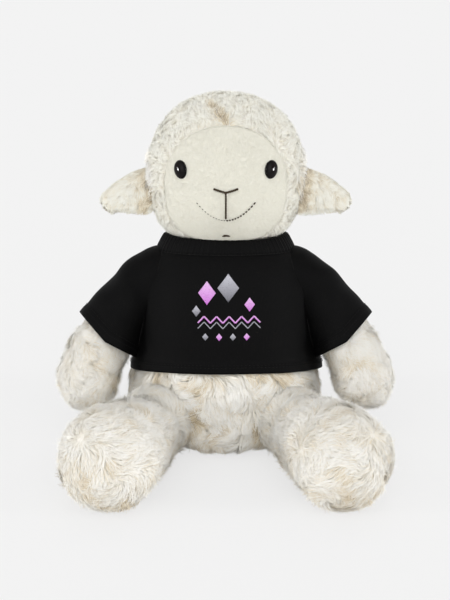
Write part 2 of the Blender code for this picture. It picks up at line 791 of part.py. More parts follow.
def head(upper, materials):
    """The hood, the face panel set into it and the filling behind both."""
    pivot = (0, 0, NECK_HEIGHT)
    underside = underside_cut(upper)
    hollow = cutter("head_hollow", *lofted(head_rings(PLUSH_WALL)), parent=upper)
    window = face_outline("face_window", TOUCH_GAP / 2, upper)
    hood = mesh_object("head_hood", *lofted(head_rings(0.0)), materials["wool"], pivot, upper)
    for tool in (hollow, window, underside):
        combine(hood, tool)
    back = FACE_INSET + FACE_WALL
    behind = cutter("face_hollow", *lofted(head_rings(back)), parent=upper)
    pane = face_outline("face_pane", -TOUCH_GAP / 2, upper)
    skin = lofted(head_rings(FACE_INSET))
    face = mesh_object("face_panel", *skin, materials["velour"], pivot, upper)
    combine(face, behind)
    combine(face, pane, "INTERSECT")
    combine(face, underside)
    fibre = lofted(head_rings(max(back, PLUSH_WALL) + TOUCH_GAP))
    filling = mesh_object("head_filling", *fibre, materials["fibre"], pivot, upper)
    combine(filling, underside)
    dish = ball("head_dish", pivot, NECK_BALL_RADIUS + TOUCH_GAP, SOCKET_SIDES, upper)
    combine(filling, dish)
    return face, filling


def eye_place(side):
    """Where the eye's back sits and the turn that faces it squarely outward."""
    surface = face_front(side * EYE_HALF_SPACING, EYE_HEIGHT, FACE_INSET)
    step = EYE_HALF_WIDTH
    beside = face_front(side * (EYE_HALF_SPACING + step), EYE_HEIGHT, FACE_INSET)
    within = face_front(side * (EYE_HALF_SPACING - step), EYE_HEIGHT, FACE_INSET)
    above = face_front(side * EYE_HALF_SPACING, EYE_HEIGHT + step, FACE_INSET)
    below = face_front(side * EYE_HALF_SPACING, EYE_HEIGHT - step, FACE_INSET)
    outward = (beside - within).cross(above - below) * side
    outward.normalize()
    lift = Vector((0, 0, 1))
    lift = (lift - outward * lift.dot(outward)).normalized()
    lift = Matrix.Rotation(-side * EYE_TILT, 3, outward) @ lift
    across = lift.cross(outward)
    turn = Matrix((across, lift, outward)).transposed().to_4x4()
    return Matrix.Translation(surface + outward * TOUCH_GAP) @ turn


def disc_rings(radius, low, high):
    turns = [math.tau * i / EYE_SIDES for i in range(EYE_SIDES)]
    circle = [(radius * math.cos(a), radius * math.sin(a)) for a in turns]
    return [[Vector((x, y, z)) for x, y in circle] for z in (low, high)]


def placed_cutter(name, rings, place, upper):
    points, faces = lofted(rings)
    return cutter(name, [place @ p for p in points], faces, upper)


def eye(side, word, upper, face, filling, materials):
    """A glossy dome whose shank goes through the face panel to a washer behind it."""
    place = eye_place(side)
    pivot = (0, 0, NECK_HEIGHT)
    turns = [math.tau * i / EYE_SIDES for i in range(EYE_SIDES)]
    rings = [[Vector((0, 0, -EYE_SHANK_LENGTH))]]
    for z in (-EYE_SHANK_LENGTH, 0):
        circle = [(math.cos(a), math.sin(a)) for a in turns]
        ring = [Vector((EYE_SHANK_RADIUS * x, EYE_SHANK_RADIUS * y, z)) for x, y in circle]
        rings.append(ring)
    for row in range(EYE_ROWS):
        rise = BOW * row / EYE_ROWS
        half_width, half_height = EYE_HALF_WIDTH * math.cos(rise), EYE_HALF_HEIGHT * math.cos(rise)
        height = EYE_DOME_RISE * math.sin(rise)
        oval = [(half_width * math.cos(a), half_height * math.sin(a)) for a in turns]
        rings.append([Vector((x, y, height)) for x, y in oval])
    rings.append([Vector((0, 0, EYE_DOME_RISE))])
    points, faces = lofted(rings)
    points = [place @ p for p in points]
    mesh_object(f"eye_{word}", points, faces, materials["gloss"], pivot, upper)

    washer_top = -TOUCH_GAP - FACE_WALL - WASHER_SET_BACK
    washer_low = washer_top - WASHER_THICKNESS
    hole = disc_rings(EYE_SHANK_RADIUS + TOUCH_GAP, washer_low, washer_top)
    rim = disc_rings(WASHER_RADIUS, washer_low, washer_top)
    points, faces = lofted([rim[0], rim[1], hole[1], hole[0]], closed_run=True)
    points = [place @ p for p in points]
    mesh_object(f"eye_washer_{word}", points, faces, materials["plastic"], pivot, upper)

    drill = disc_rings(EYE_SHANK_RADIUS + TOUCH_GAP, washer_low, EYE_DOME_RISE)
    combine(face, placed_cutter(f"shank_hole_{word}", drill, place, upper))
    pocket_low = -EYE_SHANK_LENGTH - TOUCH_GAP
    seat = disc_rings(WASHER_RADIUS + TOUCH_GAP, washer_low - TOUCH_GAP, EYE_DOME_RISE)
    combine(filling, placed_cutter(f"washer_pocket_{word}", seat, place, upper))
    well = disc_rings(EYE_SHANK_RADIUS + TOUCH_GAP, pocket_low, washer_top)
    combine(filling, placed_cutter(f"shank_well_{word}", well, place, upper))


def embroidery(upper, materials):
    """Nose and lip line, and the smile below them, lying on the face panel."""
    pivot = (0, 0, NECK_HEIGHT)
    proud = FACE_INSET - TOUCH_GAP - FACE_THREAD_RADIUS

    def on_face(x, height):
        return face_front(x, height, proud)

    nose = []
    for i in range(-STITCH_STEPS, STITCH_STEPS + 1):
        share = i / STITCH_STEPS
        height = NOSE_POINT_HEIGHT + (NOSE_TOP_HEIGHT - NOSE_POINT_HEIGHT) * abs(share)
        nose.append(on_face(NOSE_HALF_WIDTH * share, height))
    lip = []
    for i in range(STITCH_STEPS + 1):
        height = NOSE_POINT_HEIGHT + (LIP_BOTTOM_HEIGHT - NOSE_POINT_HEIGHT) * i / STITCH_STEPS
        lip.append(on_face(0.0, height))
    smile = []
    for i in range(-2 * STITCH_STEPS, 2 * STITCH_STEPS + 1):
        share = i / (2 * STITCH_STEPS)
        height = SMILE_LOW_HEIGHT + (SMILE_END_HEIGHT - SMILE_LOW_HEIGHT) * share * share
        smile.append(on_face(SMILE_HALF_WIDTH * share, height))
    radius = FACE_THREAD_RADIUS
    line = cutter("lip_line", *lofted(tube_rings(lip, radius)), parent=upper)
    skin = lofted(tube_rings(nose, radius))
    piece = mesh_object("nose_stitching", *skin, materials["brown"], pivot, upper)
    combine(piece, line, "UNION")
    skin = lofted(tube_rings(smile, radius))
    mesh_object("smile_stitching", *skin, materials["brown"], pivot, upper)


def ear_layer(side, proud):
    """Lines of points across the ear from its front edge over the ridge to its back edge."""
    root_x = head_point(0.0, EAR_ROOT_TOP_HEIGHT, 0.0).x
    lines = []
    for along, spread in zip(EAR_LENGTH_SHARES, EAR_SPREAD_SHARES):
        x = root_x - EAR_HALF_DEPTH * (1 - along) * EAR_ROOT_TUCK_SHARE + EAR_REACH * along
        ridge = EAR_ROOT_TOP_HEIGHT - EAR_RIDGE_FALL * along**EAR_DROOP_POWER
        drop = (EAR_ROOT_DROP + (EAR_TIP_DROP - EAR_ROOT_DROP) * along) * spread
        line = []
        for i in range(EAR_ARCH_STEPS + 1):
            turn = math.pi * (i / EAR_ARCH_STEPS - 0.5)
            y = (EAR_HALF_DEPTH + proud) * spread * math.sin(turn) - HEAD_FORWARD
            fall = drop * (1 - math.cos(turn)) - proud * spread * math.cos(turn)
            line.append(Vector((side * (x + proud * along), y, ridge - fall)))
        lines.append(line)
    return lines


def ear(side, word, upper, space, materials):
    """A folded ear: the woolly leaf outside and the short-pile lining within."""
    pivot = (
        side * (head_point(0.0, EAR_ROOT_TOP_HEIGHT, 0.0).x + EAR_HINGE_SETBACK),
        -HEAD_FORWARD,
        EAR_ROOT_TOP_HEIGHT,
    )
    layers = (
        (f"ear_outer_{word}", 0.0, -EAR_WALL, "wool"),
        (f"ear_lining_{word}", -EAR_WALL - TOUCH_GAP, -EAR_WALL - TOUCH_GAP - EAR_LINING_WALL, "lining"),
    )
    for name, high, low, finish in layers:
        outer, inner = ear_layer(side, high), ear_layer(side, low)
        rings = [a + b[::-1] for a, b in zip(outer, inner)]
        piece = mesh_object(name, *lofted(rings), materials[finish], pivot, upper)
        combine(piece, space)


def build():
    for obj in list(bpy.data.objects):
        bpy.data.objects.remove(obj)
    materials = {
        "plush": plush("long_pile_plush", (0.83, 0.79, 0.71), 0.9),
        "wool": plush("woolly_plush", (0.76, 0.73, 0.66), 0.9),
        "velour": plush("short_pile_velour", (0.80, 0.78, 0.70), 0.85),
        "lining": plush("ear_lining_velour", (0.80, 0.68, 0.62), 0.85),
        "fibre": plush("filling_fibre", (0.90, 0.90, 0.88), 0.95),
        "jersey": plush("black_jersey", (0.012, 0.012, 0.012), 0.85),
        "gloss": plush("gloss_black_plastic", (0.005, 0.004, 0.004), 0.08),
        "plastic": plush("white_plastic", (0.85, 0.85, 0.83), 0.4),
        "brown": plush("brown_thread", (0.06, 0.045, 0.03), 0.7),
        "thread": plush("cream_thread", (0.75, 0.72, 0.64), 0.8),
    }
    upper = bpy.data.objects.new("trunk_lean", None)
    bpy.context.scene.collection.objects.link(upper)
    upper.rotation_euler = (-TRUNK_LEAN, 0, 0)
    bpy.context.view_layer.update()
    floor = floor_cut()
    body(upper, floor, materials)
    neck(upper, materials)
    closing_seam(upper, materials)
    arms_room, legs_room, tail_room = trunk_space(upper)
    for side, word in SIDES:
        arm(side, word, upper, arms_room, materials)
        leg(side, word, legs_room, floor, materials)
    tail(upper, tail_room, materials)
    shirt(upper, materials)
    face, filling = head(upper, materials)
    head_room = cutter("head_space_for_ears", *lofted(head_rings(-TOUCH_GAP)), parent=upper)
    for side, word in SIDES:
        eye(side, word, upper, face, filling, materials)
        ear(side, word, upper, head_room, materials)
    embroidery(upper, materials)


build()
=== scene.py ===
"""Looks of the seated plush sheep: its skins, pile, jersey shirt, eyes and embroidery.

Metres, +Z up, the toy looks along -Y. The trunk frame is the toy sat bolt upright: tipped() and leaned()
turn its places back as the sewn trunk leans, and untipped() gives them back.
"""

import math

import bmesh
import bpy
import numpy as np
from mathutils import Matrix, Vector
from mathutils.kdtree import KDTree


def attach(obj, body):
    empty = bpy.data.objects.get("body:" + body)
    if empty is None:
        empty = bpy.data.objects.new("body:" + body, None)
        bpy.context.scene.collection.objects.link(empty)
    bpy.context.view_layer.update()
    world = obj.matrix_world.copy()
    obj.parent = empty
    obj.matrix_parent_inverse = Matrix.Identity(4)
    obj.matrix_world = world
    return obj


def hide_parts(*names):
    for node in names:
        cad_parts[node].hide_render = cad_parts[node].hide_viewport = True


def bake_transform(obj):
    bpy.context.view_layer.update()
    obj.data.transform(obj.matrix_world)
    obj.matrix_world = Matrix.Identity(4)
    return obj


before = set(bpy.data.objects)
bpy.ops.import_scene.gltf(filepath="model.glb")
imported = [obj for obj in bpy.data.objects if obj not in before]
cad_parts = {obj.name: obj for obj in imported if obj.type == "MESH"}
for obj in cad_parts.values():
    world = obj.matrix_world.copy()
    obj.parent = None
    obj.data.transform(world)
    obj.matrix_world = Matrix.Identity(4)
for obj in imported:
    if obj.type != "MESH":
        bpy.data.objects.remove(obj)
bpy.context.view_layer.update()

MM = 0.001
SIDES = ((-1, "right"), (1, "left"))

# The sewn forms, as the solids have them
TRUNK_HALF_WIDTH, TRUNK_HALF_DEPTH = 0.0565, 0.046
TRUNK_WIDEST_HEIGHT, TRUNK_LOWER_RISE, TRUNK_UPPER_RISE = 0.042, 0.0425, 0.090
TRUNK_LEAN, TRUNK_BEND_HEIGHT, TRUNK_FULLNESS = math.radians(12), 0.070, 3.0
NECK_HEIGHT, NECK_BALL_RADIUS = 0.113, 0.021
HEAD_CENTRE_HEIGHT, HEAD_FORWARD = 0.173, 0.001
HEAD_HALF_WIDTH, HEAD_HALF_DEPTH = 0.048, 0.042
HEAD_UPPER_RISE, HEAD_LOWER_RISE, HEAD_UNDERSIDE_HEIGHT = 0.0455, 0.052, 0.1295
HEAD_UPPER_FULLNESS, HEAD_LOWER_FULLNESS = 2.1, 2.9
MUZZLE_RISE, MUZZLE_HALF_WIDTH, MUZZLE_HALF_HEIGHT, MUZZLE_HEIGHT = 0.007, 0.018, 0.015, 0.152
FACE_HALF_WIDTH, FACE_WIDEST_HEIGHT = 0.0374, 0.163
FACE_UPPER_RISE, FACE_LOWER_RISE = 0.036, 0.036
FACE_UPPER_FULLNESS, FACE_LOWER_FULLNESS = 2.1, 2.6
EYE_HALF_SPACING, EYE_HEIGHT = 0.0273, 0.1727
EYE_HALF_WIDTH, EYE_HALF_HEIGHT, EYE_DOME_RISE = 0.0044, 0.0058, 0.0034
EYE_TILT = math.radians(12)
NOSE_HALF_WIDTH, NOSE_TOP_HEIGHT, NOSE_POINT_HEIGHT = 0.0073, 0.1618, 0.1597
LIP_BOTTOM_HEIGHT, CHIN_KNOT_HEIGHT = 0.1436, 0.1318
SMILE_HALF_WIDTH, SMILE_END_HEIGHT, SMILE_LOW_HEIGHT = 0.0182, 0.1536, 0.1424
EAR_ROOT_TOP_HEIGHT, EAR_HALF_DEPTH = 0.1715, 0.0085
EAR_ROOT_DROP, EAR_TIP_DROP, EAR_REACH, EAR_RIDGE_FALL = 0.0300, 0.014, 0.0286, 0.0170
EAR_ROOT_TUCK_SHARE, EAR_DROOP_POWER = 0.8, 2.0
EAR_LENGTH_SHARES = (0.0, 0.30, 0.58, 0.80, 0.93, 1.0)
EAR_SPREAD_SHARES = (0.90, 1.0, 1.0, 0.90, 0.72, 0.45)
SHOULDER, ELBOW, PAW = (0.0425, -0.0045, 0.1033), (0.069, -0.009, 0.0855), (0.0865, -0.015, 0.0405)
ARM_RADIUS, SLEEVE_FLARE, SLEEVE_END_SHARE, SLEEVE_HEM_TILT = 0.0163, 0.0030, 5 / 7, 0.008
ARM_RADIUS_SHARES = (1.0, 0.96, 0.95, 0.97, 0.98, 0.97, 0.98, 1.02)
HIP, HIP_RADIUS = (0.042, -0.028, 0.0225), 0.0215
FOOT, FOOT_RADIUS = (0.0685, -0.097, 0.0282), 0.0287
LEG_SWELL_SHARES = (0.0, -0.20, 0.05, 0.35, 0.65, 0.90, 1.0)
TAIL_ROOT, TAIL_END, TAIL_RADIUS = (0, 0.0455, 0.034), (0, 0.058, 0.031), 0.0085
TAIL_RADIUS_SHARES = (0.85, 0.89, 1.0, 0.95, 0.76)
SHIRT_HEM_HEIGHT, SHIRT_HEM_FRONT_LIFT = 0.0455, 0.0050
COLLAR_BOTTOM_HEIGHT, COLLAR_TOP_HEIGHT = 0.1203, 0.1292
COLLAR_DRAW_IN, COLLAR_FORWARD = 0.0035, 0.0020
TRUNK = (TRUNK_WIDEST_HEIGHT, TRUNK_UPPER_RISE, TRUNK_LOWER_RISE, TRUNK_FULLNESS, TRUNK_FULLNESS)
HEAD = (HEAD_CENTRE_HEIGHT, HEAD_UPPER_RISE, HEAD_LOWER_RISE, HEAD_UPPER_FULLNESS, HEAD_LOWER_FULLNESS)

# What the sewn cloth adds to them
HIPS_SWELL, HIPS_HEIGHT, HIPS_SPREAD = 0.05, 0.026, 0.014
EAR_LEAF, EAR_LINING, EAR_STEPS = (0.0, -2.4 * MM), (-2.5 * MM, -4.0 * MM), 26
SHIRT_PROUD, CLOTH = 1.4 * MM, 0.8 * MM
FLOOR_GAP = 0.3 * MM
PARTING_SIDE, PARTING_HEIGHT, PARTING_SLOPE = 0.0065, 0.205, 0.8
DOWN, ACROSS, BACK, UP = (np.array(way) for way in ((0, 0, -1.0), (1.0, 0, 0), (0, 1.0, 0), (0, 0, 1.0)))


# Finishes


class Value:
    """A shader output that takes part in sums, each of which adds a Math node."""

    def __init__(self, finish, output):
        self.finish = finish
        self.output = output

    def maths(self, operation, first, second=0.0):
        return self.finish.node("ShaderNodeMath", {"operation": operation}, {0: first, 1: second})

    def __add__(self, other):
        return self.maths("ADD", self, other)

    def __sub__(self, other):
        return self.maths("SUBTRACT", self, other)

    def __rsub__(self, other):
        return self.maths("SUBTRACT", other, self)

    def __mul__(self, other):
        return self.maths("MULTIPLY", self, other)

    __radd__, __rmul__ = __add__, __mul__

    def sine(self):
        return self.maths("SINE", self)


class Finish:
    """The nodes of a procedural material, or of the world, being put together."""

    def __init__(self, name, store="materials"):
        self.material = getattr(bpy.data, store).new(name)
        self.material.use_nodes = True
        self.tree = self.material.node_tree
        self.tree.nodes.clear()

    def node(self, kind, settings=None, sockets=None, output=0):
        """One node: its settings are set first, then the values or links of its sockets."""
        made = self.tree.nodes.new(kind)
        for name, value in (settings or {}).items():
            if name == "stops":
                stops = made.color_ramp.elements
                while len(stops) < len(value):
                    stops.new(1.0)
                for stop, (place, colour) in zip(stops, value):
                    stop.position = place
                    stop.color = (*colour, 1.0)
            else:
                setattr(made, name, value)
        for key, value in (sockets or {}).items():
            if isinstance(value, Value):
                self.tree.links.new(value.output, made.inputs[key])
            else:
                made.inputs[key].default_value = value
        return Value(self, made.outputs[output]) if made.outputs else None

    def mixed(self, share, first, second, blend="MIX"):
        """A colour between two, by a share."""
        first, second = ((*c, 1.0) if isinstance(c, tuple) else c for c in (first, second))
        settings = {"data_type": "RGBA", "blend_type": blend}
        return self.node("ShaderNodeMix", settings, {0: share, 6: first, 7: second}, 2)

    def ramp(self, share, *stops):
        return self.node("ShaderNodeValToRGB", {"stops": stops}, {0: share})

    def mapped(self, layer, way):
        """The place on a flat map, across it (0) or up it (1)."""
        flat = self.node("ShaderNodeUVMap", {"uv_map": layer})
        return self.node("ShaderNodeSeparateXYZ", sockets={0: flat}, output=way)

    def place(self):
        """Where the surface is, in metres."""
        return self.node("ShaderNodeTexCoord", output=3)

    def grain(self, size, detail=2.0):
        """Noise whose lumps are about this wide, in metres."""
        sockets = {"Vector": self.place(), "Scale": 1 / size, "Detail": detail}
        return self.node("ShaderNodeTexNoise", sockets=sockets)

    def bump(self, height, depth, strength=1.0):
        sockets = {"Height": height, "Distance": depth, "Strength": strength}
        return self.node("ShaderNodeBump", sockets=sockets)

    def surface(self, colour, roughness, **sockets):
        named = {"Base Color": colour, "Roughness": roughness}
        named.update({key.replace("_", " "): value for key, value in sockets.items()})
        shader = self.node("ShaderNodeBsdfPrincipled", sockets=named)
        self.node("ShaderNodeOutputMaterial", sockets={"Surface": shader})
        return self.material


def grey(level):
    return (level, level, level)


def pile_finish(name, hues, root_painted_shade, sheen=0.1):
    """Strands: the map's first place picks the hue, the second runs from root to tip, darkening the colour
    towards the root as painted shade of the pile above.
    """
    finish = Finish(name)
    hue = finish.ramp(finish.mapped("OFBake", 0), *hues)
    # Painted shade: the colour is multiplied darker towards the root, where the pile above shades it
    stops = (0.0, root_painted_shade), (0.55, (0.985, 0.98, 0.97)), (1.0, grey(1.0))
    shade = finish.ramp(finish.mapped("OFBake", 1), *stops)
    colour = finish.mixed(1.0, hue, shade, "MULTIPLY")
    return finish.surface(colour, 0.62, Sheen_Weight=sheen, Sheen_Roughness=0.5, Specular_IOR_Level=0.3)


def skin_finish(name, light, dark, lump=6 * MM):
    """The backing that shows between the strands, matted and uneven."""
    finish = Finish(name)
    colour = finish.mixed(finish.grain(lump), light, dark)
    matted = finish.grain(0.7 * MM, 3.0)
    return finish.surface(colour, 0.9, Normal=finish.bump(matted, 0.6 * MM))


def velour_finish(name, light, shade, blush, nap=0.45 * MM):
    """Short brushed pile with faint clouding where it has been stroked."""
    finish = Finish(name)
    clouded = finish.mixed(finish.grain(9 * MM, 3.0), light, shade)
    flecks = finish.ramp(finish.grain(1.6 * MM, 3.0), (0.35, grey(0.0)), (0.75, grey(1.0)))
    colour = finish.mixed(flecks * 0.35, clouded, blush)
    roughness = 0.74 + 0.16 * finish.grain(2.5 * MM)
    normal = finish.bump(finish.grain(nap, 3.0), 0.35 * MM, 0.6)
    return finish.surface(colour, roughness, Normal=normal, Sheen_Weight=0.15)


def jersey_finish(name, pitch=0.9 * MM, ribs=0.0):
    """Fine black knit, its columns of stitches running up the cloth."""
    finish = Finish(name)
    across, upward = finish.mapped("cloth", 0), finish.mapped("cloth", 1)
    columns = (across * (math.tau / pitch)).sine()
    slant = upward * (math.tau / pitch) + columns * 1.6
    knit = columns * 0.5 + slant.sine() * 0.5
    if ribs:
        knit = knit * 0.4 + (across * (math.tau / ribs)).sine() * 2.0
    worn = finish.grain(14 * MM, 3.0)
    lint = finish.ramp(finish.grain(0.5 * MM, 1.0), (0.66, grey(0.0)), (0.78, grey(1.0)))
    black = finish.mixed(worn, (0.0012, 0.0012, 0.0013), (0.0026, 0.0026, 0.0028))
    colour = finish.mixed(lint * 0.03, black, (0.05, 0.05, 0.055))
    roughness = 0.56 + 0.10 * worn
    normal = finish.bump(knit, 0.12 * MM, 0.35)
    return finish.surface(colour, roughness, Normal=normal, Specular_IOR_Level=0.075)


def thread_finish(name, dark, light, twist=0.5 * MM):
    """Twisted embroidery thread."""
    finish = Finish(name)
    sockets = {0: finish.place(), "Scale": 0.16 / twist, "Distortion": 2.0}
    turns = finish.node("ShaderNodeTexWave", sockets=sockets, output=1)
    # Painted shade: the colour follows the twist's bump, darker in its grooves
    colour = finish.mixed(turns, dark, light)
    return finish.surface(colour, 0.7, Normal=finish.bump(turns, 0.12 * MM), Specular_IOR_Level=0.1)


def print_finish(name, first, second):
    """Screen print on knit, one colour fading into another up the motif."""
    finish = Finish(name)
    faded = finish.mixed(finish.mapped("cloth", 1), first, second)
    cracks = finish.ramp(finish.grain(0.35 * MM), (0.30, grey(0.35)), (0.42, grey(1.0)))
    colour = finish.mixed(1.0, faded, cracks, "MULTIPLY")
    return finish.surface(colour, 0.6, Normal=finish.bump(finish.grain(0.5 * MM), 0.08 * MM))


def gloss_finish(name):
    finish = Finish(name)
    colour = finish.mixed(finish.grain(2 * MM), (0.0015, 0.001, 0.001), (0.004, 0.003, 0.003))
    return finish.surface(colour, 0.07, Specular_IOR_Level=0.12)


def plastic_finish(name):
    finish = Finish(name)
    grain = finish.grain(0.4 * MM)
    colour = finish.mixed(grain, (0.80, 0.80, 0.78), (0.86, 0.86, 0.84))
    return finish.surface(colour, 0.42, Normal=finish.bump(grain, 0.02 * MM))


SILKY_HUES = ((0.0, (0.985, 0.98, 0.95)), (0.28, (0.97, 0.945, 0.88)), (0.58, (0.85, 0.755, 0.585)),
              (1.0, (0.46, 0.36, 0.22)))
WOOLLY_HUES = ((0.0, (0.95, 0.95, 0.89)), (0.35, (0.92, 0.905, 0.82)), (0.65, (0.83, 0.75, 0.59)),
               (1.0, (0.45, 0.37, 0.26)))
VELOUR_HUES = ((0.0, (0.835, 0.825, 0.745)), (0.5, (0.81, 0.795, 0.705)), (1.0, (0.76, 0.735, 0.63)))

# The third value of each is the painted shade at the strands' roots
silky_pile = pile_finish("silky_long_pile", SILKY_HUES, (0.96, 0.94, 0.89), 0.25)
woolly_pile = pile_finish("woolly_pile", WOOLLY_HUES, (0.88, 0.85, 0.79), 0.25)
velour_pile = pile_finish("velour_pile", VELOUR_HUES, (0.94, 0.93, 0.90))
silky_skin = skin_finish("silky_backing", (0.97, 0.95, 0.90), (0.92, 0.88, 0.80))
woolly_skin = skin_finish("woolly_backing", (0.92, 0.90, 0.85), (0.85, 0.82, 0.74))
face_velour = velour_finish("face_velour", (0.84, 0.825, 0.74), (0.81, 0.79, 0.69), (0.87, 0.86, 0.79))
lining_velour = velour_finish("ear_lining_velour", (0.84, 0.75, 0.70), (0.80, 0.68, 0.62), (0.87, 0.80, 0.75))
jersey = jersey_finish("black_jersey")
rib_jersey = jersey_finish("black_rib", ribs=2.2 * MM)
black_thread = thread_finish("black_thread", grey(0.004), grey(0.010))
brown_thread = thread_finish("brown_thread", (0.028, 0.019, 0.012), (0.075, 0.055, 0.036))
cream_thread = thread_finish("cream_thread", (0.66, 0.62, 0.54), (0.80, 0.77, 0.70))
print_lilac = print_finish("print_lilac", (0.53, 0.13, 0.60), (0.75, 0.48, 0.78))
print_grey = print_finish("print_grey", (0.10, 0.10, 0.12), (0.52, 0.52, 0.58))
gloss_black = gloss_finish("gloss_black_plastic")
washer_plastic = plastic_finish("white_plastic")


# Shapes. A form is the points and faces of a skin.


def tipped(points, ease=1.0):
    """World points of trunk-frame ones, turned back by the lean, and lifted by an eased share of it."""
    points = np.asarray(points, float)
    x, y, z = points[..., 0], points[..., 1], points[..., 2]
    back = y * math.cos(TRUNK_LEAN) + z * math.sin(TRUNK_LEAN)
    return np.stack((x, back, z * math.cos(TRUNK_LEAN) - y * math.sin(TRUNK_LEAN) * ease), -1)


def leaned(points):
    """World points of the trunk, tipped back above the bend and easing out towards the level seat."""
    ease = np.clip(points[..., 2] / TRUNK_BEND_HEIGHT, 0, 1)
    return tipped(points, ease * ease * (3 - 2 * ease))


def untipped(points):
    """Trunk-frame points of world ones."""
    x, y, z = points[..., 0], points[..., 1], points[..., 2]
    front = y * math.cos(TRUNK_LEAN) - z * math.sin(TRUNK_LEAN)
    return np.stack((x, front, z * math.cos(TRUNK_LEAN) + y * math.sin(TRUNK_LEAN)), -1)


def unit(vectors):
    length = np.linalg.norm(vectors, axis=-1, keepdims=True)
    return vectors / np.maximum(length, 1e-9)


def dots(first, second):
    return np.einsum("ij,ij->i", first, second)


def laid_flat(vectors, normals):
    """Headings along the skin that has these normals."""
    return unit(vectors - normals * dots(vectors, normals)[:, None])


def bell(values, middle, spread, power=2):
    """1 at the middle, and fading out on both sides."""
    return np.exp(-(((values - middle) / spread) ** power))


def ramped(values, none, full):
    """0 at one value and before it, 1 at the other and after it."""
    return np.clip((values - none) / (full - none), 0, 1)


def wander(points, size, seed, waves=7):
    """A smooth value, mostly from -1 to 1, that changes over this many metres."""
    draw = np.random.default_rng(seed)
    total = np.zeros(points.shape[:-1])
    for _ in range(waves):
        heading = unit(draw.normal(size=3)) * math.tau / size * draw.uniform(0.4, 1.1)
        total += np.sin(points @ heading + draw.uniform(0, math.tau))
    return total / math.sqrt(waves) * 1.2


def patches(points, size, seed, above=0.0):
    """Where a wandering value is over a level, from 0 to 1."""
    return np.clip(wander(points, size, seed) - above, 0, 1)


def swirls(points, size, seed):
    """Wandering headings. They use three seeds, from this one on."""
    return np.stack([wander(points, size, seed + k) for k in range(3)], -1)


def turns_round(count):
    return np.linspace(0, math.tau, count, endpoint=False)


def along(values, share):
    """The value at a share of the way through an evenly spaced list, eased."""
    values = np.asarray(values, float)
    place = np.clip(share, 0, 1) * (len(values) - 1)
    low = np.minimum(place.astype(int), len(values) - 2)
    t = place - low
    before, after = values[np.maximum(low - 1, 0)], values[np.minimum(low + 2, len(values) - 1)]
    a, b = values[low], values[low + 1]
    bent = 2 * before - 5 * a + 4 * b - after + t * (3 * (a - b) + after - before)
    return a + t * (b - before + t * bent) / 2


def loft(rings, poles=(False, False), closed=True, joined=False, capped=False):
    """The form over equal rings: the end rings may be poles, joined to each other, or capped."""
    rings = np.asarray(rings, float)
    rows, count = rings.shape[:2]
    points = rings.reshape(-1, 3)
    columns = np.arange(count if closed else count - 1)
    turned = (columns + 1) % count
    faces = []
    for row in range(rows if joined else rows - 1):
        low, high = row * count, (row + 1) % rows * count
        if row == 0 and poles[0]:
            faces += [(0, high + b, high + a) for a, b in zip(columns, turned)]
        elif row == rows - 2 and poles[1]:
            faces += [(low + a, low + b, high) for a, b in zip(columns, turned)]
        else:
            faces += [(low + a, low + b, high + b, high + a) for a, b in zip(columns, turned)]
    if capped:
        faces += [tuple(range(count)), tuple(range(len(points) - count, len(points)))]
    used = np.unique(np.concatenate([np.array(face) for face in faces]))
    index = np.full(len(points), -1)
    index[used] = np.arange(len(used))
    return points[used], [tuple(int(index[i]) for i in face) for face in faces]


def hoop(centre, heading, across, size, sides):
    """A ring of points round a heading and square to it."""
    turns = turns_round(sides)[:, None]
    side = unit(np.cross(heading, across))
    return centre + size * (np.cos(turns) * side + np.sin(turns) * np.cross(side, heading))


def between_poles(rows, ring):
    """The form over rings at rises from -90 to 90 degrees."""
    rises = (math.pi * row / rows - math.pi / 2 for row in range(rows + 1))
    return loft([ring(rise) for rise in rises], (True, True))


def linked(name, data):
    obj = bpy.data.objects.new(name, data)
    bpy.context.scene.collection.objects.link(obj)
    return obj


def placed(name, mesh, finish, body, replaces=()):
    """An object of a mesh, riding on its body."""
    mesh.materials.append(finish)
    obj = linked(name, mesh)
    if replaces:
        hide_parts(*replaces)
    if body:
        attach(obj, body)
    return obj


def made_of(name, form, finish, body=None, replaces=(), cloth=None):
    """A smooth-shaded object of a form. Cloth gives the points' places on the flat cloth."""
    points, faces = form
    mesh = bpy.data.meshes.new(name)
    mesh.from_pydata([tuple(p) for p in points], [], [tuple(f) for f in faces])
    if cloth is not None:
        layer = mesh.uv_layers.new(name="cloth")
        corners = np.empty(len(mesh.loops), int)
        mesh.loops.foreach_get("vertex_index", corners)
        layer.data.foreach_set("uv", np.asarray(cloth, np.float32)[corners].ravel())
    shaping = bmesh.new()
    shaping.from_mesh(mesh)
    if all(edge.is_manifold for edge in shaping.edges):
        bmesh.ops.recalc_face_normals(shaping, faces=shaping.faces)
        if shaping.calc_volume(signed=True) < 0:
            bmesh.ops.reverse_faces(shaping, faces=shaping.faces)
    shaping.to_mesh(mesh)
    shaping.free()
    mesh.shade_smooth()
    obj = placed(name, mesh, finish, body, replaces)
    return obj


def height_at(rise, shape, proud):
    """The height of a stuffed form's ring at a rise."""
    widest, upper, lower = shape[:3]
    return widest + ((upper if rise > 0 else lower) + proud) * math.sin(rise)


def girth(height, shape, proud):
    """How wide a stuffed form is at a height, as a share of its widest."""
    widest, upper, lower, upper_fullness, lower_fullness = shape
    above = height > widest
    rise = np.minimum(np.abs(height - widest) / (np.where(above, upper, lower) + proud), 1)
    full = (np.maximum(1 - rise**power, 0) ** (1 / power) for power in (upper_fullness, lower_fullness))
    return np.where(above, *full)


def trunk_surface(turn, height, proud):
    """Trunk-frame points of the trunk's skin at turns from +X towards the back."""
    width = girth(height, TRUNK, proud)
    x = (TRUNK_HALF_WIDTH + proud) * width * np.cos(turn)
    y = (TRUNK_HALF_DEPTH + proud) * width * np.sin(turn)
    return np.stack((x, y, height + 0 * x), -1)


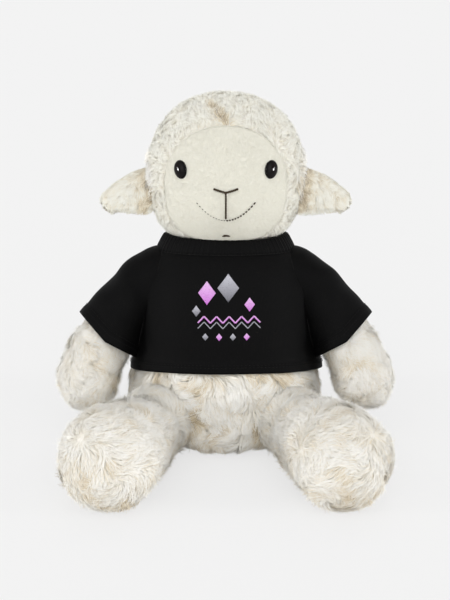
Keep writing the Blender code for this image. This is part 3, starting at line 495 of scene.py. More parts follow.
def inside_trunk(points, proud):
    """How far inside the trunk's form each trunk-frame point is, as a share: over 0 is inside."""
    x = points[..., 0] / (TRUNK_HALF_WIDTH + proud)
    y = points[..., 1] / (TRUNK_HALF_DEPTH + proud)
    return girth(points[..., 2], TRUNK, proud) - np.sqrt(x * x + y * y)


def triangles_of(form):
    """The triangles that a form's faces fan out into, and their three corners."""
    points, faces = form
    made = np.array([(face[0], face[i], face[i + 1]) for face in faces for i in range(1, len(face) - 1)])
    return made, *(points[made[:, k]] for k in range(3))


def normals_of(form):
    """Outward normals at the points of a closed form."""
    total = np.zeros_like(form[0])
    triangles, a, b, c = triangles_of(form)
    face = np.cross(b - a, c - a)
    for k in range(3):
        np.add.at(total, triangles[:, k], face)
    return unit(total) * (1 if dots(a, np.cross(b, c)).sum() > 0 else -1)


def lumpy(form, depth, size, seed):
    """The uneven stuffing seen through the skin. The floor stays flat."""
    moved = form[0] + normals_of(form) * (depth * wander(form[0], size, seed))[:, None]
    moved[:, 2] = np.maximum(moved[:, 2], FLOOR_GAP)
    return moved, form[1]


def limb(path, radius, across, sides, rows, cap_rows):
    """A stuffed limb round a path, with round ends."""
    shares = np.linspace(0, 1, rows)
    centres, radii = path(shares), radius(shares)
    headings = unit(np.gradient(centres, axis=0))
    rises = np.linspace(math.pi / 2, 0, cap_rows, endpoint=False)

    def cap(end, way, rises):
        return [(centres[end] + way * headings[end] * radii[end] * math.sin(rise), headings[end],
                 radii[end] * math.cos(rise)) for rise in rises]

    stations = [*cap(0, -1, rises), *zip(centres, headings, radii), *cap(-1, 1, rises[::-1])]
    rings = [hoop(centre, heading, across, size, sides) for centre, heading, size in stations]
    return loft(rings, (True, True))


def mirrored(place, side):
    return np.array((side * place[0], place[1], place[2]))


def arm_path(side):
    start, middle, end = (mirrored(p, side) for p in (SHOULDER, ELBOW, PAW))

    def path(share):
        t = np.asarray(share)[:, None]
        return tipped((1 - t) ** 2 * start + 2 * (1 - t) * t * middle + t * t * end)

    return path


def straight_path(start, end):
    return lambda share: start + (end - start) * np.asarray(share)[:, None]


def leg_radius(share):
    return HIP_RADIUS + (FOOT_RADIUS - HIP_RADIUS) * along(LEG_SWELL_SHARES, share)


def muzzle_rise(x, height):
    away = (x / MUZZLE_HALF_WIDTH) ** 2 + ((height - MUZZLE_HEIGHT) / MUZZLE_HALF_HEIGHT) ** 2
    return MUZZLE_RISE * np.exp(-away)


def head_point(turn, height, proud):
    """Trunk-frame points of the head's skin."""
    width = girth(height, HEAD, proud)
    x = (HEAD_HALF_WIDTH + proud) * width * np.cos(turn)
    y = (HEAD_HALF_DEPTH + proud) * width * np.sin(turn) - HEAD_FORWARD
    y = y - muzzle_rise(x, height) * np.maximum(-np.sin(turn), 0)
    return np.stack((x, y, height + 0 * x), -1)


def face_front(x, height, proud=0.0):
    """Trunk-frame points of the face straight ahead of these places."""
    x, height = np.asarray(x, float), np.asarray(height, float)
    width = girth(height, HEAD, proud)
    ahead = np.sqrt(np.maximum(1 - (x / ((HEAD_HALF_WIDTH + proud) * width)) ** 2, 0))
    y = -(HEAD_HALF_DEPTH + proud) * width * ahead - HEAD_FORWARD - muzzle_rise(x, height) * ahead
    return np.stack((x, y, height), -1)


def face_frame(x, height, proud):
    """A point on the face, in world space, with its outward, upward and sideways headings."""
    def at(aside, above):
        return tipped(face_front(x + aside, height + above, proud))

    step = 1 * MM
    upward = at(0, step) - at(0, -step)
    outward = unit(np.cross(at(step, 0) - at(-step, 0), upward))
    lift = unit(upward - outward * np.dot(upward, outward))
    return at(0, 0), outward, lift, np.cross(lift, outward)


def face_border(turn):
    """The face panel's outline, as x and height, at a turn round it."""
    rising = np.sin(turn) > 0
    reach = np.where(rising, FACE_UPPER_RISE, FACE_LOWER_RISE)
    power = 2 / np.where(rising, FACE_UPPER_FULLNESS, FACE_LOWER_FULLNESS)
    x = FACE_HALF_WIDTH * np.sign(np.cos(turn)) * np.abs(np.cos(turn)) ** power
    return x, FACE_WIDEST_HEIGHT + reach * np.sign(np.sin(turn)) * np.abs(np.sin(turn)) ** power


def in_face(points, spare):
    """True for trunk-frame points in front of the head and within the face's outline."""
    rise = points[:, 2] - FACE_WIDEST_HEIGHT
    reach = np.where(rise > 0, FACE_UPPER_RISE, FACE_LOWER_RISE) + spare
    full = np.where(rise > 0, FACE_UPPER_FULLNESS, FACE_LOWER_FULLNESS)
    size = (np.abs(points[:, 0]) / (FACE_HALF_WIDTH + spare)) ** full + (np.abs(rise) / reach) ** full
    return (size < 1) & (points[:, 1] < 0)


# Pile


def scattered(form, count, draw):
    """Places strewn evenly over a form, with the normals there and the form's area."""
    triangles, a, b, c = triangles_of(form)
    area = np.linalg.norm(np.cross(b - a, c - a), axis=1)
    chosen = triangles[draw.choice(len(triangles), count, p=area / area.sum())]
    u, v = draw.random(count), draw.random(count)
    over = u + v > 1
    u[over], v[over] = 1 - u[over], 1 - v[over]
    shares = np.stack((1 - u - v, u, v), 1)[:, :, None]
    return (form[0][chosen] * shares).sum(1), unit((normals_of(form)[chosen] * shares).sum(1)), area.sum() / 2


def strand_mesh(name, paths, widths, tones, normals, shading):
    """Tapered ribbons along paths, lit as the tufts they lie in. The map's first place is the tone, the
    second the share of length."""
    count, sections = paths.shape[:2]
    headings = np.gradient(paths, axis=1)
    side = unit(np.cross(headings, normals))
    facing = unit(np.cross(side, headings))
    run = np.linspace(0, 1, sections)
    taper = (1 - 0.6 * run**1.5) * np.minimum(0.35 + 2.5 * run, 1)
    half = side * (widths[:, None] * taper / 2)[..., None]
    per = 2 * sections - 1
    points = np.empty((count, per, 3))
    points[:, 0:-1:2], points[:, 1:-1:2] = (paths - half)[:, :-1], (paths + half)[:, :-1]
    points[:, -1] = paths[:, -1]
    corners = [2 * k + step for k in range(sections - 2) for step in (0, 1, 3, 2)]
    pattern = np.array(corners + [per - 3, per - 2, per - 1])
    loops = (pattern + per * np.arange(count)[:, None]).ravel()
    totals = np.tile([4] * (sections - 2) + [3], count)
    starts = np.concatenate(([0], np.cumsum(totals)[:-1]))
    mesh = bpy.data.meshes.new(name)
    mesh.vertices.add(count * per)
    mesh.vertices.foreach_set("co", points.astype(np.float32).ravel())
    mesh.loops.add(len(loops))
    mesh.loops.foreach_set("vertex_index", loops.astype(np.int32))
    mesh.polygons.add(len(totals))
    mesh.polygons.foreach_set("loop_start", starts.astype(np.int32))
    mesh.update(calc_edges=True)
    spread = 0.004 * np.append(np.tile((-1.0, 1.0), sections - 1), 0.0)[pattern]
    places = np.empty((count, len(pattern), 2), np.float32)
    places[..., 0] = np.clip(tones, 0.01, 0.99)[:, None] + spread
    places[..., 1] = 0.01 + 0.98 * np.append(np.repeat(run[:-1], 2), 1.0)[pattern]
    mesh.uv_layers.new(name="OFBake").data.foreach_set("uv", places.ravel())
    mesh.shade_smooth()
    # Lit mostly as the skin below and a little from above, but never far from the strand's own facing
    lit = unit(0.85 * shading + 0.15 * facing + 0.3 * UP)
    agreement = np.einsum("ijk,ijk->ij", lit, facing)
    lit = unit(lit + facing * (1.4 * np.maximum(0.35 - agreement, 0))[..., None])
    lit = np.concatenate((np.repeat(lit[:, :-1], 2, axis=1), lit[:, -1:]), axis=1)
    mesh.normals_split_custom_set_from_vertices(lit.reshape(-1, 3))
    return mesh


def nearest_of(points):
    """A look-up of the nearest of these points, as their numbers and how far off they are."""
    tree = KDTree(len(points))
    for k, point in enumerate(points.tolist()):
        tree.insert(point, k)
    tree.balance()

    def look(places):
        found = [tree.find(place)[1:] for place in places.tolist()]
        return np.array([k for k, _ in found]), np.array([apart for _, apart in found])

    return look


def grown(name, form, body, finish, comb, seed, strands, length, width, keep=None, tone=None,
          trim=None, bed=1.6 * MM, rise=(12, -3), stray=0.3, lock=4 * MM, pull=0.15, sections=4, swirl=0.35,
          crevice_painted_shade=0.2, puff=0.2, loose=0.07, tuft=0.10):
    """Pile on a form: strands that lie in layers as deep as the bed, leave at the first rise, end at the
    second and follow the skin's curves. They gather into locks about this far apart, each of which lies
    its own way and is lifted by about the tuft's angle. A loose share of them stands up. Comb gives the
    way they lie, keep and trim say which roots and which whole strands stay, and tone adds to the hue."""
    draw = np.random.default_rng(seed)
    roots, normals, area = scattered(form, strands, draw)
    if keep:
        kept = keep(roots)
        roots, normals = roots[kept], normals[kept]
    count = len(roots)
    area *= count / strands
    heads = draw.choice(count, min(max(int(area / lock**2), 12), count), replace=False)
    number, apart = nearest_of(roots[heads])(roots)
    chief, apart = heads[number], np.clip(apart / lock, 0, 1)
    flow = laid_flat(comb(roots), normals)
    turn = (draw.normal(0, swirl, count)[chief] + draw.normal(0, stray, count))[:, None]
    flow = flow * np.cos(turn) + np.cross(normals, flow) * np.sin(turn)
    lengths = (length(roots) if callable(length) else np.full(count, length)) * draw.uniform(0.75, 1.1, count)
    lengths = lengths * draw.uniform(0.9, 1.1, count)[chief]
    first, last = (math.radians(angle) for angle in rise)
    up = draw.random(count) < loose
    standing = np.where(up, draw.uniform(0.3, 0.95, count), 0)
    size = np.where(up, 0.7, 1.0) * lengths / (sections - 1)
    curl = draw.normal(0, 0.3, count)
    lift = np.abs(draw.normal(0, tuft, count)[chief])
    skin, out, look = form[0], normals_of(form), nearest_of(form[0])
    deep = bed * draw.random(count) * (1 - 0.3 * apart)
    path, around, height = [roots + normals * deep[:, None]], [normals], deep
    for k in range(sections - 1):
        share = (k + 0.5) / (sections - 1)
        angle = first + (last - first) * share + standing * (1 - 0.5 * share) + lift * (1 - share)
        bend = (curl * (share - 0.5))[:, None]
        step = flow * np.cos(bend) + np.cross(around[-1], flow) * np.sin(bend)
        reached = path[-1] + step * (np.cos(angle) * size)[:, None]
        height = np.maximum(height + np.sin(angle) * size, 0.1 * MM)
        nearest, _ = look(reached)
        upward = out[nearest]
        above = dots(reached - skin[nearest], upward)
        path.append(reached + upward * (height - above)[:, None])
        around.append(upward)
        flow = laid_flat(flow, upward)
    paths, around = np.stack(path, 1), np.stack(around, 1)
    paths = paths + (paths[chief] - paths) * (pull * np.linspace(0, 1, sections) ** 1.3)[:, None]
    paths[..., 2] = np.maximum(paths[..., 2], 0.25 * MM)
    hue = 0.13 + 0.11 * draw.normal(size=count) + 0.08 * draw.normal(size=count)[chief]
    # Painted shade: strands towards the edge of each lock are darker, as in the shade where locks part, and
    # so are strands in the lower layers of the bed, under those above
    hue = hue + crevice_painted_shade * np.clip(apart - 0.4, 0, 1) + 0.18 * (1 - deep / bed) - 0.08
    if tone:
        hue = hue + tone(roots, normals)
    widths = width * draw.uniform(0.7, 1.2, count) * np.where(up, 0.55, 1.0)
    strand = paths, widths, hue, around, unit(around + (puff * (roots - roots[chief]) / lock)[:, None, :])
    if trim:
        kept = trim(paths)
        strand = (values[kept] for values in strand)
    placed(name, strand_mesh(name, *strand), finish, body)


# Stage: camera, lamps and floor

FLOOR_SHOWN, FLOOR_GLOW_SHARE, WORLD_LIGHT, WORLD_SHOWN = 0.892, 0.78, 0.58, 0.888
CAMERA_DISTANCE, CAMERA_PITCH, CAMERA_TARGET = 1.3, math.radians(20), Vector((-0.0005, 0, 0.0924))
PIXEL, PICTURE_HEIGHT, SENSOR = 0.62 * MM, 600, 36
LAMPS = (
    # name, turn from the front, height over the floor, strength and softness, angles in degrees
    ("key", -8, 48, 0.62, 60),
    ("fill", 4, 16, 0.62, 60),
    ("left_softbox", -74, 12, 0.95, 10),
    ("right_softbox", 74, 12, 0.95, 10),
    ("back_softbox", 180, 48, 0.42, 60),
)


def stage():
    scene = bpy.context.scene
    scene.view_settings.view_transform = "Standard"
    lens = bpy.data.cameras.new("camera")
    lens.sensor_width = SENSOR
    lens.lens = SENSOR * CAMERA_DISTANCE / (PICTURE_HEIGHT * PIXEL)
    lens.clip_start, lens.clip_end = 0.05, 50
    camera = linked("camera", lens)
    ahead = Vector((0, -math.cos(CAMERA_PITCH), math.sin(CAMERA_PITCH)))
    camera.location = CAMERA_TARGET + CAMERA_DISTANCE * ahead
    camera.rotation_euler = (math.pi / 2 - CAMERA_PITCH, 0, 0)
    scene.camera = camera

    finish = Finish("floor_paper")
    paper = finish.mixed(finish.grain(0.4), grey(0.895), grey(0.905))
    shaded = finish.node("ShaderNodeBsdfDiffuse", sockets={"Color": paper})
    glowing = finish.node("ShaderNodeEmission", sockets={"Color": (*grey(FLOOR_SHOWN), 1.0)})
    to_camera, in_gloss = (finish.node("ShaderNodeLightPath", output=f"Is {ray} Ray")
                           for ray in ("Camera", "Glossy"))
    share = (to_camera + in_gloss) * FLOOR_GLOW_SHARE
    shown = finish.node("ShaderNodeMixShader", sockets={0: share, 1: shaded, 2: glowing})
    finish.node("ShaderNodeOutputMaterial", sockets={"Surface": shown})
    half = 8.0
    floor_points = [(-half, -half, 0), (half, -half, 0), (half, half, 0), (-half, half, 0)]
    made_of("floor", (floor_points, [(0, 1, 2, 3)]), finish.material)

    studio = Finish("studio", "worlds")
    seen = studio.node("ShaderNodeLightPath", output="Is Camera Ray")
    light = studio.node("ShaderNodeBackground",
                        sockets={"Color": studio.mixed(seen, grey(WORLD_LIGHT), grey(WORLD_SHOWN))})
    studio.node("ShaderNodeOutputWorld", sockets={"Surface": light})
    scene.world = studio.material

    for lamp in LAMPS:
        softbox(*lamp)


def softbox(name, azimuth, elevation, strength, softness):
    lamp = bpy.data.lights.new(name, "SUN")
    lamp.energy = strength
    lamp.angle = math.radians(softness)
    lamp_object = linked(name, lamp)
    a, e = math.radians(azimuth), math.radians(elevation)
    back = Vector((math.sin(a) * math.cos(e), -math.cos(a) * math.cos(e), math.sin(e)))
    lamp_object.rotation_mode = "QUATERNION"
    lamp_object.rotation_quaternion = back.to_track_quat("Z", "Y")
    return lamp_object


def catch_light(side, word, dome):
    """A small lamp for one eye alone, which mirrors as one bright spot."""
    glossy = bpy.data.collections.new(f"glossy_eye_{word}")
    glossy.objects.link(dome)
    lamp = softbox(f"catch_light_{word}", 60 * side, 4, 9.0, 18)
    lamp.light_linking.receiver_collection = glossy


# Trunk, neck and tail


def hem_at(turn):
    """The height of the shirt's hem, which is lifted at the front, and how far to the front it is."""
    front = -np.minimum(np.sin(turn), 0)
    return SHIRT_HEM_HEIGHT + SHIRT_HEM_FRONT_LIFT * front, front


def hem_by(upright):
    return hem_at(np.arctan2(upright[..., 1], upright[..., 0]))


def thighs(places, spare):
    """True for places within a thigh."""
    found = np.zeros(len(places), bool)
    for side, _ in SIDES:
        start, end = mirrored(HIP, side), mirrored(FOOT, side)
        run = end - start
        share = np.clip((places - start) @ run / (run @ run), 0, 1)
        away = np.linalg.norm(places - start - share[:, None] * run, axis=1)
        found |= away < leg_radius(share) + spare
    return found


def trunk():
    inset = -0.8 * MM

    def ring(rise):
        height = height_at(rise, TRUNK, inset)
        points = trunk_surface(turns_round(96), height, inset)
        points[:, 0] *= 1 + HIPS_SWELL * bell(height, HIPS_HEIGHT, HIPS_SPREAD)
        return leaned(points)

    form = lumpy(between_poles(56, ring), 0.9 * MM, 0.024, 11)
    made_of("trunk_skin", form, silky_skin, "trunk", ("body_cover", "body_filling"))

    def bare_below_hem(places):
        upright = untipped(places)
        below = upright[:, 2] < hem_by(upright)[0] + 3 * MM
        return below & (places[:, 2] > 0.5 * MM) & ~thighs(places, -2 * MM)

    def tone(places, normals):
        crease_side, crease_height = 0.021, 0.020
        patch = patches(places, 0.013, 5, 0.15)
        crease_painted_shade = bell(np.abs(places[:, 0]), crease_side, 0.007) * bell(places[:, 2], crease_height, 0.012)
        # Painted shade: darker at the front, in the creases where the insides of the thighs meet the belly,
        # patchy with the tan patches
        return 0.36 * patch + np.where(places[:, 1] < 0, 0.60 * crease_painted_shade * (0.6 + 0.6 * patch), 0) - 0.03

    def comb(places):
        swirl = np.stack((wander(places, 0.022, 6), 0 * places[:, 0], 0.6 * wander(places, 0.024, 7)), -1)
        return DOWN + 1.1 * swirl + 4 * places

    def length(places):
        return np.where(places[:, 2] < 0.02, 12 * MM, 10 * MM)

    def clear_of_hem(paths):
        upright = untipped(paths)
        hem, front = hem_by(upright)
        return (upright[..., 2] < hem - 0.5 * MM - 2.4 * MM * front)[:, 1:].all(axis=1)

    grown("trunk_pile", form, "trunk", silky_pile, comb, 21, strands=98000, length=length,
          width=0.42 * MM, keep=bare_below_hem, tone=tone, trim=clear_of_hem, bed=2.2 * MM, rise=(16, -5),
          lock=6 * MM, pull=0.4, swirl=0.5, crevice_painted_shade=0.28, puff=0.35, tuft=0.2)


def tail():
    line = straight_path(np.array(TAIL_ROOT), np.array(TAIL_END))
    form = limb(lambda share: tipped(line(share)),
                lambda share: (TAIL_RADIUS + 0.3 * MM) * along(TAIL_RADIUS_SHARES, share), ACROSS, 24, 8, 5)
    made_of("tail_skin", form, silky_skin, "tail", ("tail_cover", "tail_filling"))
    grown("tail_pile", form, "tail", silky_pile,
          lambda places: BACK + 0.5 * DOWN + 0 * places, 22, strands=9000, length=8 * MM, width=0.4 * MM,
          keep=lambda places: inside_trunk(untipped(places), 0) < 0.04, rise=(20, 0), lock=4 * MM, pull=0.5)


def neck():
    """The wad of fibre between the head and the trunk."""
    turns = turns_round(40)[:, None]

    def ring(rise):
        ball = math.cos(rise) * (np.cos(turns) * ACROSS + np.sin(turns) * BACK) + math.sin(rise) * UP
        return tipped(ball * (NECK_BALL_RADIUS + 0.4 * MM) + NECK_HEIGHT * UP)

    made_of("neck_wad", between_poles(20, ring), silky_skin, "neck", ("neck_filling",))


# Limbs


def leg(side, word):
    foot = mirrored(FOOT, side)
    hip = mirrored(HIP, side)
    run = unit(foot - hip)
    points, faces = limb(straight_path(hip, foot), lambda share: leg_radius(share) - 0.3 * MM, UP, 48, 30, 12)
    points[:, 2] = np.maximum(points[:, 2], FLOOR_GAP)
    form = lumpy((points, faces), 0.8 * MM, 0.026, 31)
    body = f"leg_{word}"
    made_of(f"leg_skin_{word}", form, silky_skin, body,
            (f"leg_cover_{word}", f"leg_filling_{word}"))

    def comb(places):
        from_sole = places - foot
        ahead = from_sole @ run
        beyond = np.clip(ahead / FOOT_RADIUS, 0, 1)[:, None]
        outward = unit(from_sole - ahead[:, None] * run)
        on_leg, on_sole = side * 0.5 * ACROSS - 0.5 * run, outward * 0.45 + DOWN * 0.6
        return (1 - beyond) * on_leg + beyond * on_sole + 0.9 * swirls(places, 0.024, 33)

    def tone(places, normals):
        low = ramped(places[:, 2], 0.034, 0.012)
        # Painted light: lighter towards the hip, to lift the shade that the shirt, belly and arms cast on the
        # thighs
        hipward = np.clip(-((places - foot) @ run) / FOOT_RADIUS, 0, 1)
        # Painted shade: darker in patches towards the floor, on the undersides of the feet
        sole_shade_patches = 0.34 * patches(places, 0.012, 36, 0.1) + 0.24 * patches(places, 0.0055, 39)
        return 0.12 * patches(places, 0.018, 37) + low * sole_shade_patches - 0.04 * hipward

    def length(places):
        buried = inside_trunk(untipped(places), 2 * MM) > 0
        return np.where(buried, 2.5 * MM, np.where(places[:, 2] < 2 * MM, 6 * MM, 10 * MM))

    grown(f"leg_pile_{word}", form, body, silky_pile, comb, 38 + side, strands=39500,
          length=length, width=0.42 * MM, tone=tone, keep=lambda places: places[:, 2] > 0.35 * MM,
          bed=1.8 * MM, lock=4.5 * MM, loose=0.12, tuft=0.13)


def arm(side, word):
    path = arm_path(side)
    form = limb(path, lambda share: ARM_RADIUS * along(ARM_RADIUS_SHARES, share) - 0.3 * MM, tipped(BACK),
                40, 30, 10)
    form = lumpy(form, 0.6 * MM, 0.02, 41)
    body = f"arm_{word}"
    made_of(f"arm_skin_{word}", form, silky_skin, body,
            (f"arm_cover_{word}", f"arm_filling_{word}"))
    shares = np.linspace(0, 1, 40)
    line = path(shares)
    heading = unit(line[-1] - line[-6])

    def on_line(places):
        """The share of the arm's length at each place, and how far the place is off its middle line."""
        apart = np.linalg.norm(places[:, None, :] - line, axis=2)
        return shares[apart.argmin(1)], apart.min(1)

    def clear_of_cuff(paths):
        reach, away = (values.reshape(len(paths), -1) for values in on_line(paths[:, 1:].reshape(-1, 3)))
        return ((reach > SLEEVE_END_SHARE) | (away < ARM_RADIUS + 1.2 * MM)).all(axis=1)

    def tone(places, normals):
        # Painted shade: darker in patches on the side that faces the body and towards the bottom of the arm
        inner = np.clip(-side * normals[:, 0] - 0.3, 0, 1)
        lower = ramped(places[:, 2], 0.046, 0.026)
        spots, streaks = patches(places, 0.009, 45, -0.2), patches(places, 0.012, 46, 0.2)
        return (0.5 * inner + 0.2 * lower) * spots + 0.16 * streaks - 0.045

    grown(f"arm_pile_{word}", form, body, silky_pile,
          lambda places: heading + 0.3 * DOWN + swirls(places, 0.020, 42), 48 + side, strands=62000,
          length=10 * MM, width=0.38 * MM, keep=lambda places: on_line(places)[0] > SLEEVE_END_SHARE - 0.2,
          tone=tone, trim=clear_of_cuff, bed=1.9 * MM, stray=0.55, lock=4.5 * MM, pull=0.3, swirl=0.8,
          loose=0.22, tuft=0.2, crevice_painted_shade=0.36, puff=0.4)


# Head


def hood():
    inset = -1.2 * MM

    def ring(rise):
        points = head_point(turns_round(96), height_at(rise, HEAD, inset), inset)
        points[:, 2] = np.maximum(points[:, 2], HEAD_UNDERSIDE_HEIGHT)
        return tipped(points)

    form = between_poles(64, ring)
    made_of("hood_skin", form, woolly_skin, "head", ("head_hood", "head_filling"))
    combed_from = tipped((0.0, -0.030, 0.160))

    def covered(places):
        upright = untipped(places)
        return ~in_face(upright, -0.5 * MM) & (upright[:, 2] > HEAD_UNDERSIDE_HEIGHT + 0.5 * MM)

    def comb(places):
        return unit(places - combed_from) + 0.15 * DOWN + 0.6 * swirls(places, 0.016, 52)

    def tone(places, normals):
        x, y, z = untipped(places).T
        # Painted shade: darker along the parting, in its hollow
        aside = x + PARTING_SIDE + PARTING_SLOPE * (z - PARTING_HEIGHT - 0.002)
        aside = aside + 0.0010 * wander(places, 0.012, 57)
        parting_painted_shade = bell(aside, 0, 0.0030) * bell(z, PARTING_HEIGHT, 0.007, 4) * ramped(-y, -0.008, -0.002)
        # Painted shade: darker in patches low on the sides of the head, below the ear roots
        cheek_height = 0.160
        side = ramped(np.abs(x) / HEAD_HALF_WIDTH, 0.75, 0.95) * bell(z, cheek_height, 0.014)
        patch = patches(places, 0.014, 55)
        return 0.85 * parting_painted_shade + 0.60 * side * (0.25 + patch) + 0.06 * patch - 0.04

    def length(places):
        upright = untipped(places)
        low = np.clip((upright[:, 2] - HEAD_UNDERSIDE_HEIGHT) / (9 * MM), 0, 1)
        return 6 * MM * (0.3 + 0.7 * low) * np.where(in_face(upright, 3 * MM), 0.7, 1.0)

    for part, sign in (("front", -1), ("back", 1)):
        grown(f"hood_pile_{part}", form, "head", woolly_pile, comb, 56 + sign, strands=62000,
              length=length, width=0.36 * MM, tone=tone,
              keep=lambda places: covered(places) & (sign * (untipped(places)[:, 1] - 0.004) > 0),
              bed=1.2 * MM, rise=(16, -2), lock=3.4 * MM, pull=0.25, swirl=0.5, crevice_painted_shade=0.12, loose=0.12)

    def by_ears(places):
        reach_aside, reach_back, reach_up, root_height = 0.014, 0.022, 0.019, 0.168
        x, y, z = untipped(places).T
        across, up = (np.abs(x) - HEAD_HALF_WIDTH) / reach_aside, (z - root_height) / reach_up
        nearness = 1 - np.sqrt(across**2 + up**2 + (y / reach_back) ** 2)
        thinning = np.random.default_rng(96).random(len(places))
        return (thinning < 1.6 * nearness) & covered(places)

    def over_ears(places):
        return np.sign(places[:, :1]) * ACROSS + 1.1 * DOWN + 0.5 * swirls(places, 0.012, 91)

    def ear_root_tone(places, normals):
        # Painted shade: darker in patches towards the bottom, by the ear roots
        low = ramped(untipped(places)[:, 2], 0.176, 0.160)
        return 0.42 * low * np.clip(0.45 + 0.7 * wander(places, 0.010, 94), 0, 1) - 0.06

    grown("ear_root_pile", form, "head", silky_pile, over_ears, 95, strands=60000,
          length=8 * MM, width=0.36 * MM, keep=by_ears, tone=ear_root_tone, bed=2.2 * MM, rise=(26, 4),
          lock=4.5 * MM, pull=0.35, tuft=0.2, loose=0.2)


def face():
    rings_in, proud = 28, 0.2 * MM
    border_x, border_z = face_border(turns_round(96))
    outer, inner = [], []
    for k in range(rings_in + 1):
        share = math.sin(math.pi / 2 * k / rings_in)
        x, z = border_x * share, FACE_WIDEST_HEIGHT + (border_z - FACE_WIDEST_HEIGHT) * share
        tuck = 1.6 * MM * (k / rings_in) ** 14
        outer.append(tipped(face_front(x, z, proud - tuck)))
        inner.append(tipped(face_front(x, z, -2.0 * MM)))
    form = loft(outer + inner[::-1], (True, True))
    made_of("face_skin", form, face_velour, "head", ("face_panel",))

    def front(places):
        x, y, z = untipped(places).T
        return y < face_front(x, z, proud)[:, 1] + 1.4 * MM

    def comb(places):
        x, _, z = untipped(places).T
        return unit(np.stack((x * 1.4, 0 * x, z - 0.158), -1)) + 0.2 * swirls(places, 0.02, 62)

    grown("face_pile", form, "head", velour_pile, comb, 65, strands=66000,
          length=1.7 * MM, width=0.26 * MM, keep=front, bed=0.3 * MM, rise=(10, 4), lock=2 * MM, sections=3,
          loose=0.0)


def eye(side, word):
    place, outward, lift, across = face_frame(side * EYE_HALF_SPACING, EYE_HEIGHT, 0.1 * MM)
    tilt = Matrix.Rotation(-side * EYE_TILT, 3, Vector(outward))
    lift, across = np.array(tilt @ Vector(lift)), np.array(tilt @ Vector(across))
    turns, rows = turns_round(48)[:, None], 14
    profile = [(0.0, -0.9 * MM), (0.75, -0.9 * MM), (1.0, -0.5 * MM)]
    for row in range(rows + 1):
        rise = math.pi / 2 * row / rows
        profile.append((math.cos(rise), EYE_DOME_RISE * math.sin(rise) + 0.1 * MM))
    rings = [place + outward * height + across * EYE_HALF_WIDTH * share * np.cos(turns)
             + lift * EYE_HALF_HEIGHT * share * np.sin(turns) for share, height in profile]
    return made_of(f"eye_dome_{word}", loft(rings, (True, True)), gloss_black, "head",
                   (f"eye_{word}",))


# Threads


def capsule(route, radius, sides=8, ends=0.35):
    """A plump stitch along a short route, its ends drawn in."""
    headings = unit(np.gradient(route, axis=0))
    rings = [[route[0]] * sides]
    for k, (here, heading) in enumerate(zip(route, headings)):
        share = k / (len(route) - 1)
        plump = radius * (ends + (1 - ends) * math.sin(math.pi * share) ** 0.5)
        rings.append(hoop(here, heading, (0.1, 0.95, 0.3), plump, sides))
    rings.append([route[-1]] * sides)
    return loft(rings, (True, True))


def seam_cord(route, radius, sides=6):
    """A thread sewn along a closed route."""
    headings = unit(np.roll(route, -1, 0) - np.roll(route, 1, 0))
    rings = [hoop(here, heading, (0.31, 0.17, 0.93), radius, sides) for here, heading in zip(route, headings)]
    return loft(rings, joined=True)


def gathered(forms):
    """Several forms as one."""
    points, faces, start = [], [], 0
    for own_points, own_faces in forms:
        points.append(own_points)
        faces += [tuple(i + start for i in face) for face in own_faces]
        start += len(own_points)
    return np.concatenate(points), faces


def stitches(places, radius, length_share, proud):
    """One stitch over each stretch between neighbouring face places given as x and height."""
    made = []
    for (x0, z0), (x1, z1) in zip(places, places[1:]):
        shares = np.linspace(0.5 - length_share / 2, 0.5 + length_share / 2, 6)
        x, z = x0 + (x1 - x0) * shares, z0 + (z1 - z0) * shares
        bowed_out = proud + 0.25 * radius * np.sin(np.pi * (shares - shares[0]) / length_share)
        made.append(capsule(tipped(face_front(x, z, bowed_out)), radius))
    return made


def embroidery():
    def line(x, start, end, count, power=1):
        """Places from the middle line out to x, between two heights."""
        shares = [k / count for k in range(count + 1)]
        return [(x * share, start + (end - start) * share**power) for share in shares]

    nose, smile = [], []
    for side, _ in SIDES:
        nose += stitches(line(side * NOSE_HALF_WIDTH, NOSE_POINT_HEIGHT, NOSE_TOP_HEIGHT, 7, 1.2),
                         0.75 * MM, 1.25, 1.2 * MM)
    nose += stitches(line(0.0, NOSE_POINT_HEIGHT, LIP_BOTTOM_HEIGHT, 11), 0.62 * MM, 1.3, 1.2 * MM)
    made_of("nose_thread", gathered(nose), brown_thread, "head", ("nose_stitching",))
    # The right half of the smile is sewn more thinly
    for side, radius, length_share, proud in ((-1, 0.26, 0.42, 0.60), (1, 0.48, 0.66, 1.0)):
        smile += stitches(line(side * SMILE_HALF_WIDTH, SMILE_LOW_HEIGHT, SMILE_END_HEIGHT, 11, 2),
                          radius * MM, length_share, proud * MM)
    made_of("smile_thread", gathered(smile), brown_thread, "head", ("smile_stitching",))
    knot = []
    for x, z in (((-2.2, 1.8), (0, 0.7)), ((-1.4, 2.6), (0.9, 0.1))):
        x, z = (np.linspace(start * MM, end * MM, 6) for start, end in (x, z))
        knot.append(capsule(tipped(face_front(x, CHIN_KNOT_HEIGHT + z, 1.0 * MM)), 0.55 * MM))
    made_of("chin_knot", gathered(knot), brown_thread, "head")


# Ears


